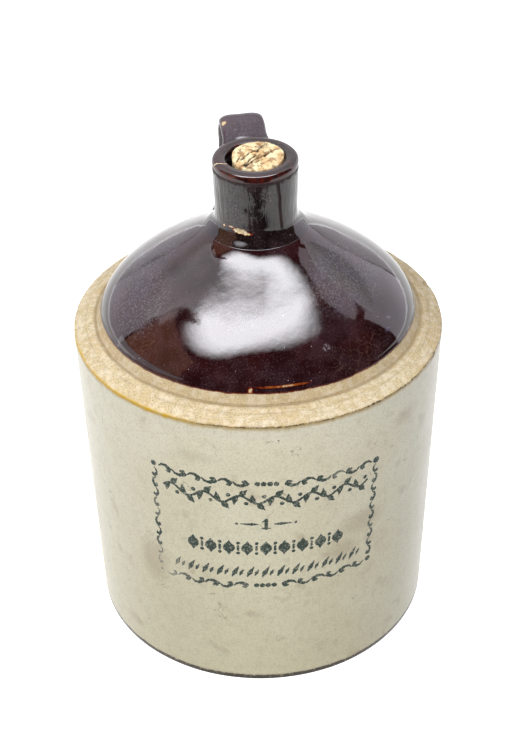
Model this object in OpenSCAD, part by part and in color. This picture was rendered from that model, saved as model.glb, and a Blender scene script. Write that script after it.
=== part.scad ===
// Stoneware shoulder jug with a cream glazed body, a bare clay ledge, a brown glazed dome,
// a short neck with a pulled strap handle, and a cork.
// Millimetres, +Z up, base on z = 0, jug axis on x = y = 0, handle towards +Y.

/* [Crock body] */
// Diameter at the outer edge of the ledge
body_d = 184; // [160:1:220]
// Diameter at the foot, before its edge is rounded
base_d = 174; // [150:1:210]
// Height of the ledge's outer edge
shoulder_h = 168.8; // [120:0.2:230]
// Thickness of the side wall
wall_t = 7.5; // [5:0.5:10]
// Thickness of the floor
floor_t = 9; // [6:0.5:14]
// Rounding of the bottom edge
foot_round = 3.7; // [2:0.1:6]

/* [Shoulder ring] */
// Thickness of the ring at its outer edge, where it lies on the wall
ring_t = 3.6; // [3:0.1:8]
// Width of the bare ledge on the ring, from its outer edge to the foot of the dome
ledge_w = 11.7; // [9:0.1:18]
// Rise of the ledge from its outer edge to the foot of the dome
ledge_rise = 4.6; // [2:0.1:8]

/* [Domed top] */
// Height of the bare foot band under the glaze
band_h = 4; // [2:0.1:7]
// How far the foot band leans in over its height
band_lean = 2.3; // [0.5:0.1:5]
// Height from the glaze edge to the root of the neck
dome_h = 45; // [32:0.5:60]
// Steepness of the dome at its rim, in degrees
rim_angle = 79; // [70:1:86]
// Steepness of the dome at the neck, in degrees
top_angle = 38; // [30:1:48]
// Thickness of the dome's wall
dome_t = 7; // [5:0.5:9]

/* [Neck] */
// Diameter of the flared root that sits on the dome
root_d = 49.8; // [46:0.2:60]
// Height of the neck from its root to the lip
neck_h = 37; // [30:0.1:50]
// Diameter at the waist
waist_d = 40; // [37:0.1:43]
// Diameter at the lip
lip_d = 41.2; // [38:0.1:45]
// Diameter of the bore
bore_d = 28; // [22:0.1:30]
// Rounding of the lip's outer edge
lip_round = 2.2; // [1:0.1:2.6]
// Rounding of the lip's inner edge
mouth_round = 1.5; // [0.5:0.1:2]

/* [Strap handle] */
// Width of the strap along its length
strap_w = 22; // [16:0.2:26]
// Thickness of the strap along its length
strap_t = 8.4; // [6:0.2:9]
// Reach of the strap's outer face from the jug's axis
strap_reach = 47.2; // [44:0.2:58]
// Depth below the lip of the strap's middle, where it leaves the bore's radius
arm_drop = 15.2; // [12:0.2:19]
// Upward slope of the strap where it leaves the neck, in degrees
arm_slope = 43; // [30:1:52]
// Depth below the lip of the strap's middle at its farthest reach
knee_drop = 8.7; // [8:0.1:16]
// Distance from the jug's axis at which the strap's middle meets the dome
foot_reach = 46; // [40:0.5:52]
// Outward sweep of the strap where it meets the dome, in degrees
foot_sweep = 24; // [10:1:34]
// Depth of the lengthwise hollow on the strap's outer face
strap_dish = 0.7; // [0:0.1:1.5]
// Extra width where the strap spreads on the neck
arm_spread = 4; // [0:0.2:8]
// Extra width where the strap is wiped down on the dome
foot_spread = 7; // [0:0.2:10]
// Length over which each end of the strap spreads
spread_len = 14; // [8:0.5:18]

/* [Cork] */
// Length of the cork
cork_len = 30; // [20:0.5:34]
// Height of the cork's top above the lip
cork_proud = 1.7; // [-2:0.1:4]
// Mean gap round the cork at its top
cork_gap = 1.6; // [0.8:0.1:2.2]
// Gap that stays where the cork leans on the bore
cork_clearance = 0.3; // [0.2:0.05:0.6]
// How much thinner the cork is at its lower end
cork_taper = 1.6; // [0.6:0.1:4]
// Direction in which the cork leans on the bore, in degrees from +X
cork_side = -10; // [-180:5:180]

/* [Hidden] */
$fn = 96;

// Heights and radii that neighbouring pieces share
body_r = body_d / 2;
base_r = base_d / 2;
bore_r = bore_d / 2;
ring_z = shoulder_h - ring_t;
seam_r = body_r - ledge_w;
seam_z = shoulder_h + ledge_rise;
rim_r = seam_r - band_lean;
rim_z = seam_z + band_h;
root_r = root_d / 2;
root_z = rim_z + dome_h;
lip_z = root_z + neck_h;

// Unit direction at an angle in the plane of an outline
function heading(angle) = [cos(angle), sin(angle)];

// Point at share t of a cubic curve between a and b, leaving a and reaching b along headings
function curve_point(a, a_angle, a_pull, b, b_angle, b_pull, t) =
    let (p = a + a_pull * heading(a_angle), q = b - b_pull * heading(b_angle))
    pow(1 - t, 3) * a + 3 * pow(1 - t, 2) * t * p + 3 * (1 - t) * t * t * q + t * t * t * b;

// Points of such a curve, both ends included
function curve(a, a_angle, a_pull, b, b_angle, b_pull, steps) =
    [for (i = [0:steps]) curve_point(a, a_angle, a_pull, b, b_angle, b_pull, i / steps)];

// Arc that rounds the corner b between a and c
function rounded(a, b, c, r, steps) =
    let (u = (a - b) / norm(a - b), v = (c - b) / norm(c - b), half = acos(u * v) / 2)
    let (centre = b + (u + v) / norm(u + v) * r / sin(half), from = b + u * r / tan(half) - centre)
    let (to = b + v * r / tan(half) - centre, sweep = 180 - 2 * half)
    [for (i = [0:steps])
        centre + (from * sin(sweep * (1 - i / steps)) + to * sin(sweep * i / steps)) / sin(sweep)];

// Steps of a large and of a small rounded edge
arc_steps = 8;
edge_steps = 5;

// List with neighbouring points that coincide taken out
nearness = 0.002;
function distinct(points) =
    [for (i = [0:len(points) - 1]) if (i == 0 || norm(points[i] - points[i - 1]) > nearness) points[i]];

// Domed top

dome_steps = 28;
throat_steps = 8;
rim = [rim_r, rim_z];
root = [root_r, root_z];
dome_span = norm(root - rim);
rim_pull_share = 0.22;
top_pull_share = 0.45;

// Outer outline from the glaze edge up to the root of the neck
dome_outside = curve(rim, 180 - rim_angle, dome_span * rim_pull_share,
    root, 180 - top_angle, dome_span * top_pull_share, dome_steps);

// Inner outline, one wall thickness inside the outer one
function inset(points, i, t) =
    let (a = points[max(i - 1, 0)], b = points[min(i + 1, len(points) - 1)], along = (b - a) / norm(b - a))
    points[i] - t * [along[1], -along[0]];
dome_inside = [for (i = [0:dome_steps]) inset(dome_outside, i, dome_t)];

// Radius of the opening in the ring, flush with the inside of the dome
opening_r = dome_inside[0][0];

// The inner outline turns up into the bore of the neck
throat_pull_share = 0.5;
throat_span = dome_inside[dome_steps][0] - bore_r;
throat = curve(dome_inside[dome_steps], 180 - top_angle, throat_span * throat_pull_share,
    [bore_r, root_z], 90, throat_span * throat_pull_share, throat_steps);

module domed_top() {
    color("#3a1a1c")
    rotate_extrude()
    polygon(distinct(concat(
        [[opening_r, seam_z], [seam_r, seam_z]],
        dome_outside,
        [for (i = [throat_steps:-1:0]) throat[i]],
        [for (i = [dome_steps:-1:0]) dome_inside[i]]
    )));
}

// Filled shape of the dome, which trims the handle
module dome_filled() {
    rotate_extrude()
    polygon(concat([[0, seam_z], [seam_r, seam_z]], dome_outside, [[0, root_z]]));
}

// Crock body

inner_foot_round = 8;

// Radius of the outer wall at a height
function side_r(z) = base_r + (body_r - base_r) * z / shoulder_h;

wall_outside = [side_r(ring_z), ring_z];
wall_inside = wall_outside - [wall_t, 0];
inner_foot = [side_r(floor_t) - wall_t, floor_t];

module crock_body() {
    color("#d8d2c0")
    rotate_extrude()
    polygon(concat(
        [[0, 0]],
        rounded([0, 0], [base_r, 0], wall_outside, foot_round, arc_steps),
        [wall_outside, wall_inside],
        rounded(wall_inside, inner_foot, [0, floor_t], inner_foot_round, arc_steps),
        [[0, floor_t]]
    ));
}

// Shoulder ring

// Turning rings that a finger left in the ledge: distance from the outer edge, width, depth
ledge_edge_round = 1;
first_ring_at = 5.6;
first_ring_w = 1.6;
first_ring_depth = 0.35;
second_ring_at = 9.8;
second_ring_w = 2.4;
second_ring_depth = 0.5;
ledge_steps = 24;
ledge_fall_power = 1.5;
opening_edge_round = 2;

// How far a ring at a distance, of a width and a depth, lowers the ledge at distance d
function ring_dip(d, at, w, depth) =
    abs(d - at) < w / 2 ? depth * (1 + cos(360 * (d - at) / w)) / 2 : 0;

// The ledge is steepest at its outer edge and level at the dome
function ledge_z(d) = shoulder_h + ledge_rise * (1 - pow(1 - d / ledge_w, ledge_fall_power))
    - ring_dip(d, first_ring_at, first_ring_w, first_ring_depth)
    - ring_dip(d, second_ring_at, second_ring_w, second_ring_depth);

ledge_points = [for (i = [1:ledge_steps]) let (d = ledge_w * i / ledge_steps) [body_r - d, ledge_z(d)]];

module shoulder_ring() {
    color("#c9b593")
    rotate_extrude()
    polygon(concat(
        [wall_outside],
        rounded(wall_outside, [body_r, shoulder_h], ledge_points[2], ledge_edge_round, edge_steps),
        [for (i = [2:ledge_steps - 1]) ledge_points[i]],
        [[opening_r, seam_z]],
        rounded([opening_r, seam_z], [opening_r, ring_z], wall_outside, opening_edge_round, edge_steps)
    ));
}

// Neck

// Heights and pulls of the root flare and of the swell below the lip, and the crown of the lip
flare_h = 8;
flare_pull = 4;
lip_swell_h = 16;
swell_pull = 5;
flare_steps = 8;
swell_steps = 6;
waist_r = waist_d / 2;
lip_r = lip_d / 2;
crown_h = 0.4;
lip_land = 0.4;
crown = [(lip_r + bore_r) / 2, lip_z];
lip_edge = [lip_r, lip_z - crown_h];
mouth_edge = [bore_r, lip_z - crown_h];

// Outer outline from the root flare through the waist to the rounded lip
neck_outside = concat(
    curve(root, 180 - top_angle, flare_pull, [waist_r, root_z + flare_h], 90, flare_pull, flare_steps),
    curve([waist_r, lip_z - lip_swell_h], 90, swell_pull,
        [lip_r, lip_z - crown_h - lip_round - lip_land], 90, swell_pull, swell_steps),
    rounded([lip_r, root_z], lip_edge, crown, lip_round, arc_steps)
);

module neck_collar() {
    color("#4a3338")
    rotate_extrude()
    polygon(distinct(concat(
        [[bore_r, root_z]],
        neck_outside,
        [crown],
        rounded(crown, mouth_edge, [bore_r, root_z], mouth_round, edge_steps)
    )));
}

// Filled shape of the neck, which trims the handle
module neck_filled() {
    rotate_extrude()
    polygon(distinct(concat([[0, root_z]], neck_outside, [[0, lip_z - crown_h]])));
}

// Strap handle

strap_bury = strap_t;
arm_rings = 22;
leg_rings = 16;
strap_sides = 24;
strap_squareness = 2.6;
arm_pull_share = 0.71;
knee_pull_share = 0.51;
leg_pull_share = 0.35;
foot_thin_share = 0.25;

// Height of the dome's outer surface at a distance from the axis
function dome_z(r) = lookup(r, [for (p = dome_outside) [p[0], p[1]]]);

// The strap's middle line lies in the plane x = 0, in [y, z]: an arm from inside the neck's wall
// up and over to the knee, and a leg from there down into the dome's wall
arm_root = [bore_r, lip_z - arm_drop];
knee = [strap_reach - strap_t / 2, lip_z - knee_drop];
foot = [foot_reach, dome_z(foot_reach) - strap_bury];
arm_span = norm(knee - arm_root);
leg_span = norm(foot - knee);
arm_line = curve(arm_root, arm_slope, arm_span * arm_pull_share,
    knee, -90, arm_span * knee_pull_share, arm_rings);
leg_line = curve(knee, -90, leg_span * leg_pull_share,
    foot, foot_sweep - 90, leg_span * leg_pull_share, leg_rings);
strap_line = concat(arm_line, [for (i = [1:leg_rings]) leg_line[i]]);
last_ring = len(strap_line) - 1;

// Heading of the middle line at ring i
function strap_heading(i) =
    let (along = strap_line[min(i + 1, last_ring)] - strap_line[max(i - 1, 0)]) atan2(along[1], along[0]);

// Length of the middle line up to ring i
function length_to(i) = i == 0 ? 0 : length_to(i - 1) + norm(strap_line[i] - strap_line[i - 1]);
strap_len = length_to(last_ring);

// Smooth rise from 0 to 1
function ease(x) = let (c = min(max(x, 0), 1)) c * c * (3 - 2 * c);

// The strap spreads where it leaves the neck, and spreads and thins where it is wiped down on the dome
function at_neck(s) = 1 - ease((s - (waist_r - bore_r)) / spread_len);
function at_foot(s) = 1 - ease((strap_len - strap_bury - s) / spread_len);
function width_at(s) = strap_w + arm_spread * at_neck(s) + foot_spread * at_foot(s);
function thickness_at(s) = strap_t * (1 - foot_thin_share * at_foot(s));

// Signed power that squares up an ellipse
function squared(c) = sign(c) * pow(abs(c), 2 / strap_squareness);

// Corner k of ring i, in [x, y, z]
function strap_point(i, k, w, t, h) =
    let (a = 360 * (k + 0.5) / strap_sides, x = w / 2 * squared(cos(a)))
    let (dish = sin(a) > 0 ? strap_dish * pow(cos(180 * x / w), 2) : 0)
    let (out = t / 2 * squared(sin(a)) - dish)
    [x, strap_line[i][0] - out * sin(h), strap_line[i][1] + out * cos(h)];

strap_points = [for (i = [0:last_ring])
    let (s = length_to(i), w = width_at(s), t = thickness_at(s), h = strap_heading(i))
    for (k = [0:strap_sides - 1]) strap_point(i, k, w, t, h)];

function corner(i, k) = i * strap_sides + k % strap_sides;
strap_faces = concat(
    [[for (k = [strap_sides - 1:-1:0]) corner(0, k)]],
    [for (i = [0:last_ring - 1]) for (k = [0:strap_sides - 1]) each [
        [corner(i, k), corner(i, k + 1), corner(i + 1, k + 1)],
        [corner(i, k), corner(i + 1, k + 1), corner(i + 1, k)]
    ]],
    [[for (k = [0:strap_sides - 1]) corner(last_ring, k)]]
);

module strap_handle() {
    color("#4a3338")
    difference() {
        polyhedron(strap_points, strap_faces, convexity = 4);
        neck_filled();
        dome_filled();
    }
}

// Cork

cork_top_r = bore_r - cork_gap;
cork_low_r = cork_top_r - cork_taper / 2;
cork_top_z = lip_z + cork_proud;
cork_edge_round = 0.8;
cork_low = [cork_low_r, cork_top_z - cork_len];
cork_top = [cork_top_r, cork_top_z];

module cork_stopper() {
    color("#c8a878")
    rotate([0, 0, cork_side])
    translate([cork_gap - cork_clearance, 0, 0])
    rotate_extrude()
    polygon(concat(
        [[0, cork_low[1]]],
        rounded([0, cork_low[1]], cork_low, cork_top, cork_edge_round, edge_steps),
        rounded(cork_low, cork_top, [0, cork_top_z], cork_edge_round, edge_steps),
        [[0, cork_top_z]]
    ));
}

crock_body();
shoulder_ring();
domed_top();
neck_collar();
strap_handle();
cork_stopper();
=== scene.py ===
"""The looks of a stoneware shoulder jug: its clay pieces, cork, printed mark and studio.

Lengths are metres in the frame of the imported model. Azimuths are degrees round the jug, 0 at the
printed side (-Y) and growing towards +X.
"""

import math

import bmesh
import bpy
import numpy as np
from mathutils import Matrix, Vector


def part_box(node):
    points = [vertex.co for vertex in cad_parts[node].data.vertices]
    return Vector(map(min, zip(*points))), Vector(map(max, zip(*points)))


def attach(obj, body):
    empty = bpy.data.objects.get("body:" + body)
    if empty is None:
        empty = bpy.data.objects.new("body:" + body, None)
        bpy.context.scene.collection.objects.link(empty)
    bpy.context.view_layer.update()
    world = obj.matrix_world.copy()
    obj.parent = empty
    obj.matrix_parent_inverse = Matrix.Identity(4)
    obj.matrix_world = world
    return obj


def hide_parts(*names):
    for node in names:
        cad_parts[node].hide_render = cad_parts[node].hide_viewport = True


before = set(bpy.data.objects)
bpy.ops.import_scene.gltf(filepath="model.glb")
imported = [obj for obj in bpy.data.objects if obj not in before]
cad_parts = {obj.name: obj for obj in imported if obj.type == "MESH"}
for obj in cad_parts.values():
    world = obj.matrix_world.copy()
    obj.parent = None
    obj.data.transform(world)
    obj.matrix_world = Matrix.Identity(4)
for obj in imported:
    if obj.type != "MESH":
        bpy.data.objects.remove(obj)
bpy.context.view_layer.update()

bl_info = {
    "name": "Stoneware Shoulder Jug",
    "version": (1, 0, 0),
    "blender": (4, 5, 0),
    "location": "3D View > Sidebar > Jug",
    "description": "Builds a glazed stoneware jug piece by piece, with its cork, printed mark and studio",
    "category": "Object",
}

MM = 0.001

# Heights and radii where the pieces meet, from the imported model
RING_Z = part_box("shoulder_ring")[0].z
BODY_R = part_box("shoulder_ring")[1].x
SEAM_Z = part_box("domed_top")[0].z
SEAM_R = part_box("domed_top")[1].x
ROOT_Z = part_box("neck_collar")[0].z
ROOT_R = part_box("neck_collar")[1].x
LIP_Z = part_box("neck_collar")[1].z
CORK_LOW, CORK_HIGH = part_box("cork_stopper")

# A thrown pot is never quite round: the most that it falls short of its radius, and the length of its waves
UNEVENNESS = 0.0016
UNEVEN_WAVE = 46 * MM

# Half the width, in mm, over which glaze turns to bare clay, and how rough that clay is
EDGE_BLUR = 0.08
BARE_ROUGHNESS = 0.85


def linear(hex_colour):
    """Linear RGBA of an sRGB hex colour."""
    channels = [int(hex_colour[i : i + 2], 16) / 255 for i in (1, 3, 5)]
    return [c / 12.92 if c <= 0.04045 else ((c + 0.055) / 1.055) ** 2.4 for c in channels] + [1.0]


def length(name, description, default):
    """A property for a length in metres."""
    return bpy.props.FloatProperty(
        name=name, description=description, default=default, min=0, precision=5, unit="LENGTH"
    )


def angle(name, description, degrees):
    """A property for an angle."""
    return bpy.props.FloatProperty(
        name=name, description=description, default=math.radians(degrees), subtype="ANGLE"
    )


def colour(name, description, hex_colour):
    """A property for a colour."""
    return bpy.props.FloatVectorProperty(
        name=name, description=description, default=linear(hex_colour), size=4, min=0, max=1, subtype="COLOR"
    )


def ripple(azimuth, height, wave, radius, seed, count=28):
    """Smooth uneven waves from about -1 to 1, which close round the jug."""
    rng = np.random.default_rng(seed)
    total = 0
    for _ in range(count):
        heading, phase = rng.uniform(0, 2 * math.pi, 2)
        turns = 2 * math.pi / (wave * rng.uniform(0.7, 1.5))
        round_count = round(turns * math.cos(heading) * radius)
        total = total + np.cos(round_count * np.radians(azimuth) + turns * math.sin(heading) * height + phase)
    return total / math.sqrt(2 * count)


def uneven(azimuth, height):
    """Share by which the thrown clay falls short of its radius."""
    return UNEVENNESS * (1 + np.clip(ripple(azimuth, height, UNEVEN_WAVE, BODY_R, 5), -1, 1)) / 2


def around(azimuth, radius, height):
    """Points at azimuths, radii and heights."""
    turn = np.radians(azimuth)
    return np.stack(np.broadcast_arrays(radius * np.sin(turn), -radius * np.cos(turn), height), axis=-1)


def smooth(value, low, high):
    """Smooth step from 0 at low to 1 at high."""
    t = np.clip((value - low) / (high - low), 0, 1)
    return t * t * (3 - 2 * t)


def bell(value, middle, width):
    """Bell curve: 1 at its middle and nearly 0 at twice its width from there."""
    return np.exp(-(((value - middle) / width) ** 2))


def bend(a, a_angle, a_pull, b, b_angle, b_pull, steps=64):
    """Cubic curve that leaves a and reaches b along angles in degrees."""
    a, b = np.array(a, float), np.array(b, float)
    along_a, along_b = (
        np.array([math.cos(math.radians(d)), math.sin(math.radians(d))]) for d in (a_angle, b_angle)
    )
    p, q = a + a_pull * along_a, b - b_pull * along_b
    t = np.linspace(0, 1, steps + 1)[:, None]
    return (1 - t) ** 3 * a + 3 * (1 - t) ** 2 * t * p + 3 * (1 - t) * t * t * q + t**3 * b


def rounded(a, b, c, radius, steps=12):
    """Arc that rounds the corner b between a and c."""
    a, b, c = (np.array(p, float) for p in (a, b, c))
    u, v = (a - b) / np.linalg.norm(a - b), (c - b) / np.linalg.norm(c - b)
    half = math.acos(float(u @ v)) / 2
    centre = b + (u + v) / np.linalg.norm(u + v) * radius / math.sin(half)
    start, end = b + u * radius / math.tan(half) - centre, b + v * radius / math.tan(half) - centre
    sweep = math.pi - 2 * half
    t = np.linspace(0, 1, steps + 1)[:, None]
    return centre + (start * np.sin(sweep * (1 - t)) + end * np.sin(sweep * t)) / math.sin(sweep)


def run_along(path):
    """Distance along a path from its start to each of its points."""
    return np.concatenate([[0], np.cumsum(np.linalg.norm(np.diff(path, axis=0), axis=1))])


def outline(*stretches):
    """One path through stretches of (points, spacing), each cut evenly into steps near its spacing."""
    rows = []
    points = np.concatenate([np.atleast_2d(s[0]) for s in stretches])
    start = 0
    for stretch, spacing in stretches:
        end = min(start + len(np.atleast_2d(stretch)), len(points) - 1)
        piece = points[start : end + 1]
        run = run_along(piece)
        stations = np.linspace(0, run[-1], max(1, math.ceil(run[-1] / spacing)) + 1)
        rows.append(np.stack([np.interp(stations, run, piece[:, i]) for i in (0, 1)], axis=1)[:-1])
        start = end
    return np.concatenate(rows + [points[-1:]])


def columns(count):
    """Azimuths of a turned piece's columns, as one row."""
    return np.linspace(-180, 180, count, endpoint=False)[None, :]


def quads(i, j, rows, count):
    """Faces at rows i and columns j of a grid of points, whose last row and column join its first ones."""
    up, on = (i + 1) % rows, (j + 1) % count
    corners = np.broadcast_arrays(i * count + j, i * count + on, up * count + on, up * count + j)
    return np.stack(corners, axis=-1).reshape(-1, 4)


def turned(name, path, azimuth, relief=0, warp=uneven, centre=(0, 0), **attributes):
    """A solid of revolution from a path of (radius, height), raised by relief along its normals.
    The path runs outwards below, up outside and back inwards. A path that doesn't end on the axis is closed.
    Relief and attributes are grids of the path's rows by the azimuths, or spread over them."""
    on_axis = path[0, 0] < MM / 100
    slope = np.gradient(path, axis=0)
    normal = np.stack([slope[:, 1], -slope[:, 0]], axis=1)
    normal /= np.maximum(np.linalg.norm(normal, axis=1, keepdims=True), 1e-12)
    raised = path[:, None] + np.broadcast_to(relief, (len(path), azimuth.size))[..., None] * normal[:, None]
    radius = raised[..., 0] * (1 - (warp(azimuth, raised[..., 1]) if warp else 0))
    points = around(azimuth, radius, raised[..., 1]) + np.array([*centre, 0])
    rows, count = radius.shape
    faces = quads(np.arange(rows - 1 if on_axis else rows)[:, None], np.arange(count), rows, count)
    attributes = {key: np.broadcast_to(values, radius.shape) for key, values in attributes.items()}
    return piece(name, points.reshape(-1, 3), faces, merge=on_axis, **attributes)


def piece(name, points, faces, merge=False, **attributes):
    """A smooth mesh object from points and faces. An attribute has one number for each point, or for all."""
    mesh = bpy.data.meshes.new(name)
    mesh.from_pydata(points.tolist(), [], faces.tolist() if isinstance(faces, np.ndarray) else faces)
    for key, values in attributes.items():
        numbers = np.broadcast_to(np.ravel(values), len(points)).astype(np.float32)
        mesh.attributes.new(key, "FLOAT", "POINT").data.foreach_set("value", numbers)
    if merge:
        bm = bmesh.new()
        bm.from_mesh(mesh)
        bmesh.ops.remove_doubles(bm, verts=bm.verts, dist=MM / 1000)
        bm.to_mesh(mesh)
        bm.free()
    mesh.shade_smooth()
    mesh.set_sharp_from_angle(angle=math.radians(50))
    obj = bpy.data.objects.new(name, mesh)
    bpy.context.scene.collection.objects.link(obj)
    return obj


def add(tree, kind, inputs=None, out="", **settings):
    """Adds a shader node with its settings, sets or links its inputs, and returns one output."""
    node = tree.nodes.new("ShaderNode" + kind)
    node.location.x = 190 * len(tree.nodes)
    for name, value in settings.items():
        setattr(node, name, value)
    for name, value in (inputs or {}).items():
        socket = next(s for s in node.inputs if s.enabled and name in (s.name, s.identifier))
        if isinstance(value, bpy.types.NodeSocket):
            tree.links.new(value, socket)
        else:
            socket.default_value = value
    return next(s for s in node.outputs if s.enabled and out in ("", s.name))


def finish_of(name):
    """A new material, its node tree and its shader."""
    material = bpy.data.materials.new(name)
    material.use_nodes = True
    return material, material.node_tree, material.node_tree.nodes["Principled BSDF"]


def toned(tint, share):
    """A colour whose channels are multiplied by one share, or by one each."""
    return [*np.clip(np.multiply(tint[:3], share), 0, 1), 1]


def patches(tree, place, size, low, high, detail=3.0, seed=0.0):
    """Soft patches about one size across: 0 where the noise is under low and 1 where it is over high."""
    shift = (seed, seed * 0.7, seed * 1.3)
    moved = add(tree, "VectorMath", {"Vector": place, "Vector_001": shift}, operation="ADD")
    noise = add(tree, "TexNoise", {"Vector": moved, "Scale": 1 / size, "Detail": detail}, "Fac")
    span = {"Value": noise, "From Min": low, "From Max": high}
    return add(tree, "MapRange", span, interpolation_type="SMOOTHSTEP")


def specks(tree, place, spacing, size, share):
    """Round specks up to one radius on a share of the cells of a scatter."""
    cell = add(tree, "TexVoronoi", {"Vector": place, "Scale": 1 / spacing}, "Color")
    pick = add(tree, "SeparateColor", {"Color": cell}, "Red")
    picked = add(tree, "Math", {"Value": pick, "Value_001": share}, operation="LESS_THAN")
    radii = {"To Min": 0.4 * size / spacing, "To Max": size / spacing}
    reach = add(tree, "MapRange", {"Value": pick.node.outputs["Green"], **radii})
    away = cell.node.outputs["Distance"]
    inside = add(tree, "Math", {"Value": away, "Value_001": reach}, operation="DIVIDE")
    dot = add(tree, "MapRange", {"Value": inside, "From Min": 1.0, "From Max": 0.6})
    return add(tree, "Math", {"Value": dot, "Value_001": picked}, operation="MULTIPLY")


def laid_over(tree, below, above, mask, share=1.0):
    """A colour laid over another through a share of a mask."""
    part = add(tree, "Math", {"Value": mask, "Value_001": share}, operation="MULTIPLY", use_clamp=True)
    return add(tree, "Mix", {"Factor": part, "A": below, "B": above}, data_type="RGBA")


def blotched(tree, place, tone, hex_colour, share, size, low, high, detail=3.0, seed=0.0):
    """A colour under a share of soft patches of another."""
    mask = patches(tree, place, size, low, high, detail, seed)
    return laid_over(tree, tone, linear(hex_colour), mask, share)


def speckled(tree, place, tone, hex_colour, share, spacing, size, cells):
    """A colour under specks of another, which lie on a share of the cells of a scatter."""
    return laid_over(tree, tone, linear(hex_colour), specks(tree, place, spacing, size, cells), share)


def glaze_edge(tree, place, raggedness, size):
    """Cover from 0 on bare clay to 1 under glaze, and the depth in mm inside the glaze's ragged edge."""
    noise = add(tree, "TexNoise", {"Vector": place, "Scale": 1 / size, "Detail": 3.0}, "Fac")
    span = {"From Min": 0.3, "From Max": 0.7, "To Min": -raggedness, "To Max": raggedness}
    wander = add(tree, "MapRange", {"Value": noise, **span})
    inside = add(tree, "Attribute", out="Fac", attribute_name="glaze")
    depth = add(tree, "Math", {"Value": inside, "Value_001": wander}, operation="ADD")
    cover = add(tree, "MapRange", {"Value": depth, "From Min": -EDGE_BLUR, "From Max": EDGE_BLUR})
    return cover, depth


def fired_clay_colour(tree, place, clay):
    """Bare fired stoneware: gritty pale clay with specks of iron, toasted in patches, darkened by dirt in
    hollows and, on the ledge, by painted shade.
    """
    grit = patches(tree, place, 0.7 * MM, 0.42, 0.66, detail=4.0)
    tone = laid_over(tree, toned(clay, 1.2), toned(clay, 0.79), grit)
    tone = blotched(tree, place, tone, "#ece6dc", 0.36, 3.6 * MM, 0.42, 0.66, detail=7.0, seed=0.3)
    tone = blotched(tree, place, tone, "#b8935f", 0.2, 13 * MM, 0.5, 0.7, detail=6.0, seed=0.8)
    dirt = add(tree, "Attribute", out="Fac", attribute_name="dirt")
    tone = laid_over(tree, tone, linear("#84704f"), dirt, 0.7)
    return speckled(tree, place, tone, "#4f3d2a", 0.7, 2.6 * MM, 0.42 * MM, 0.4)


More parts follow.
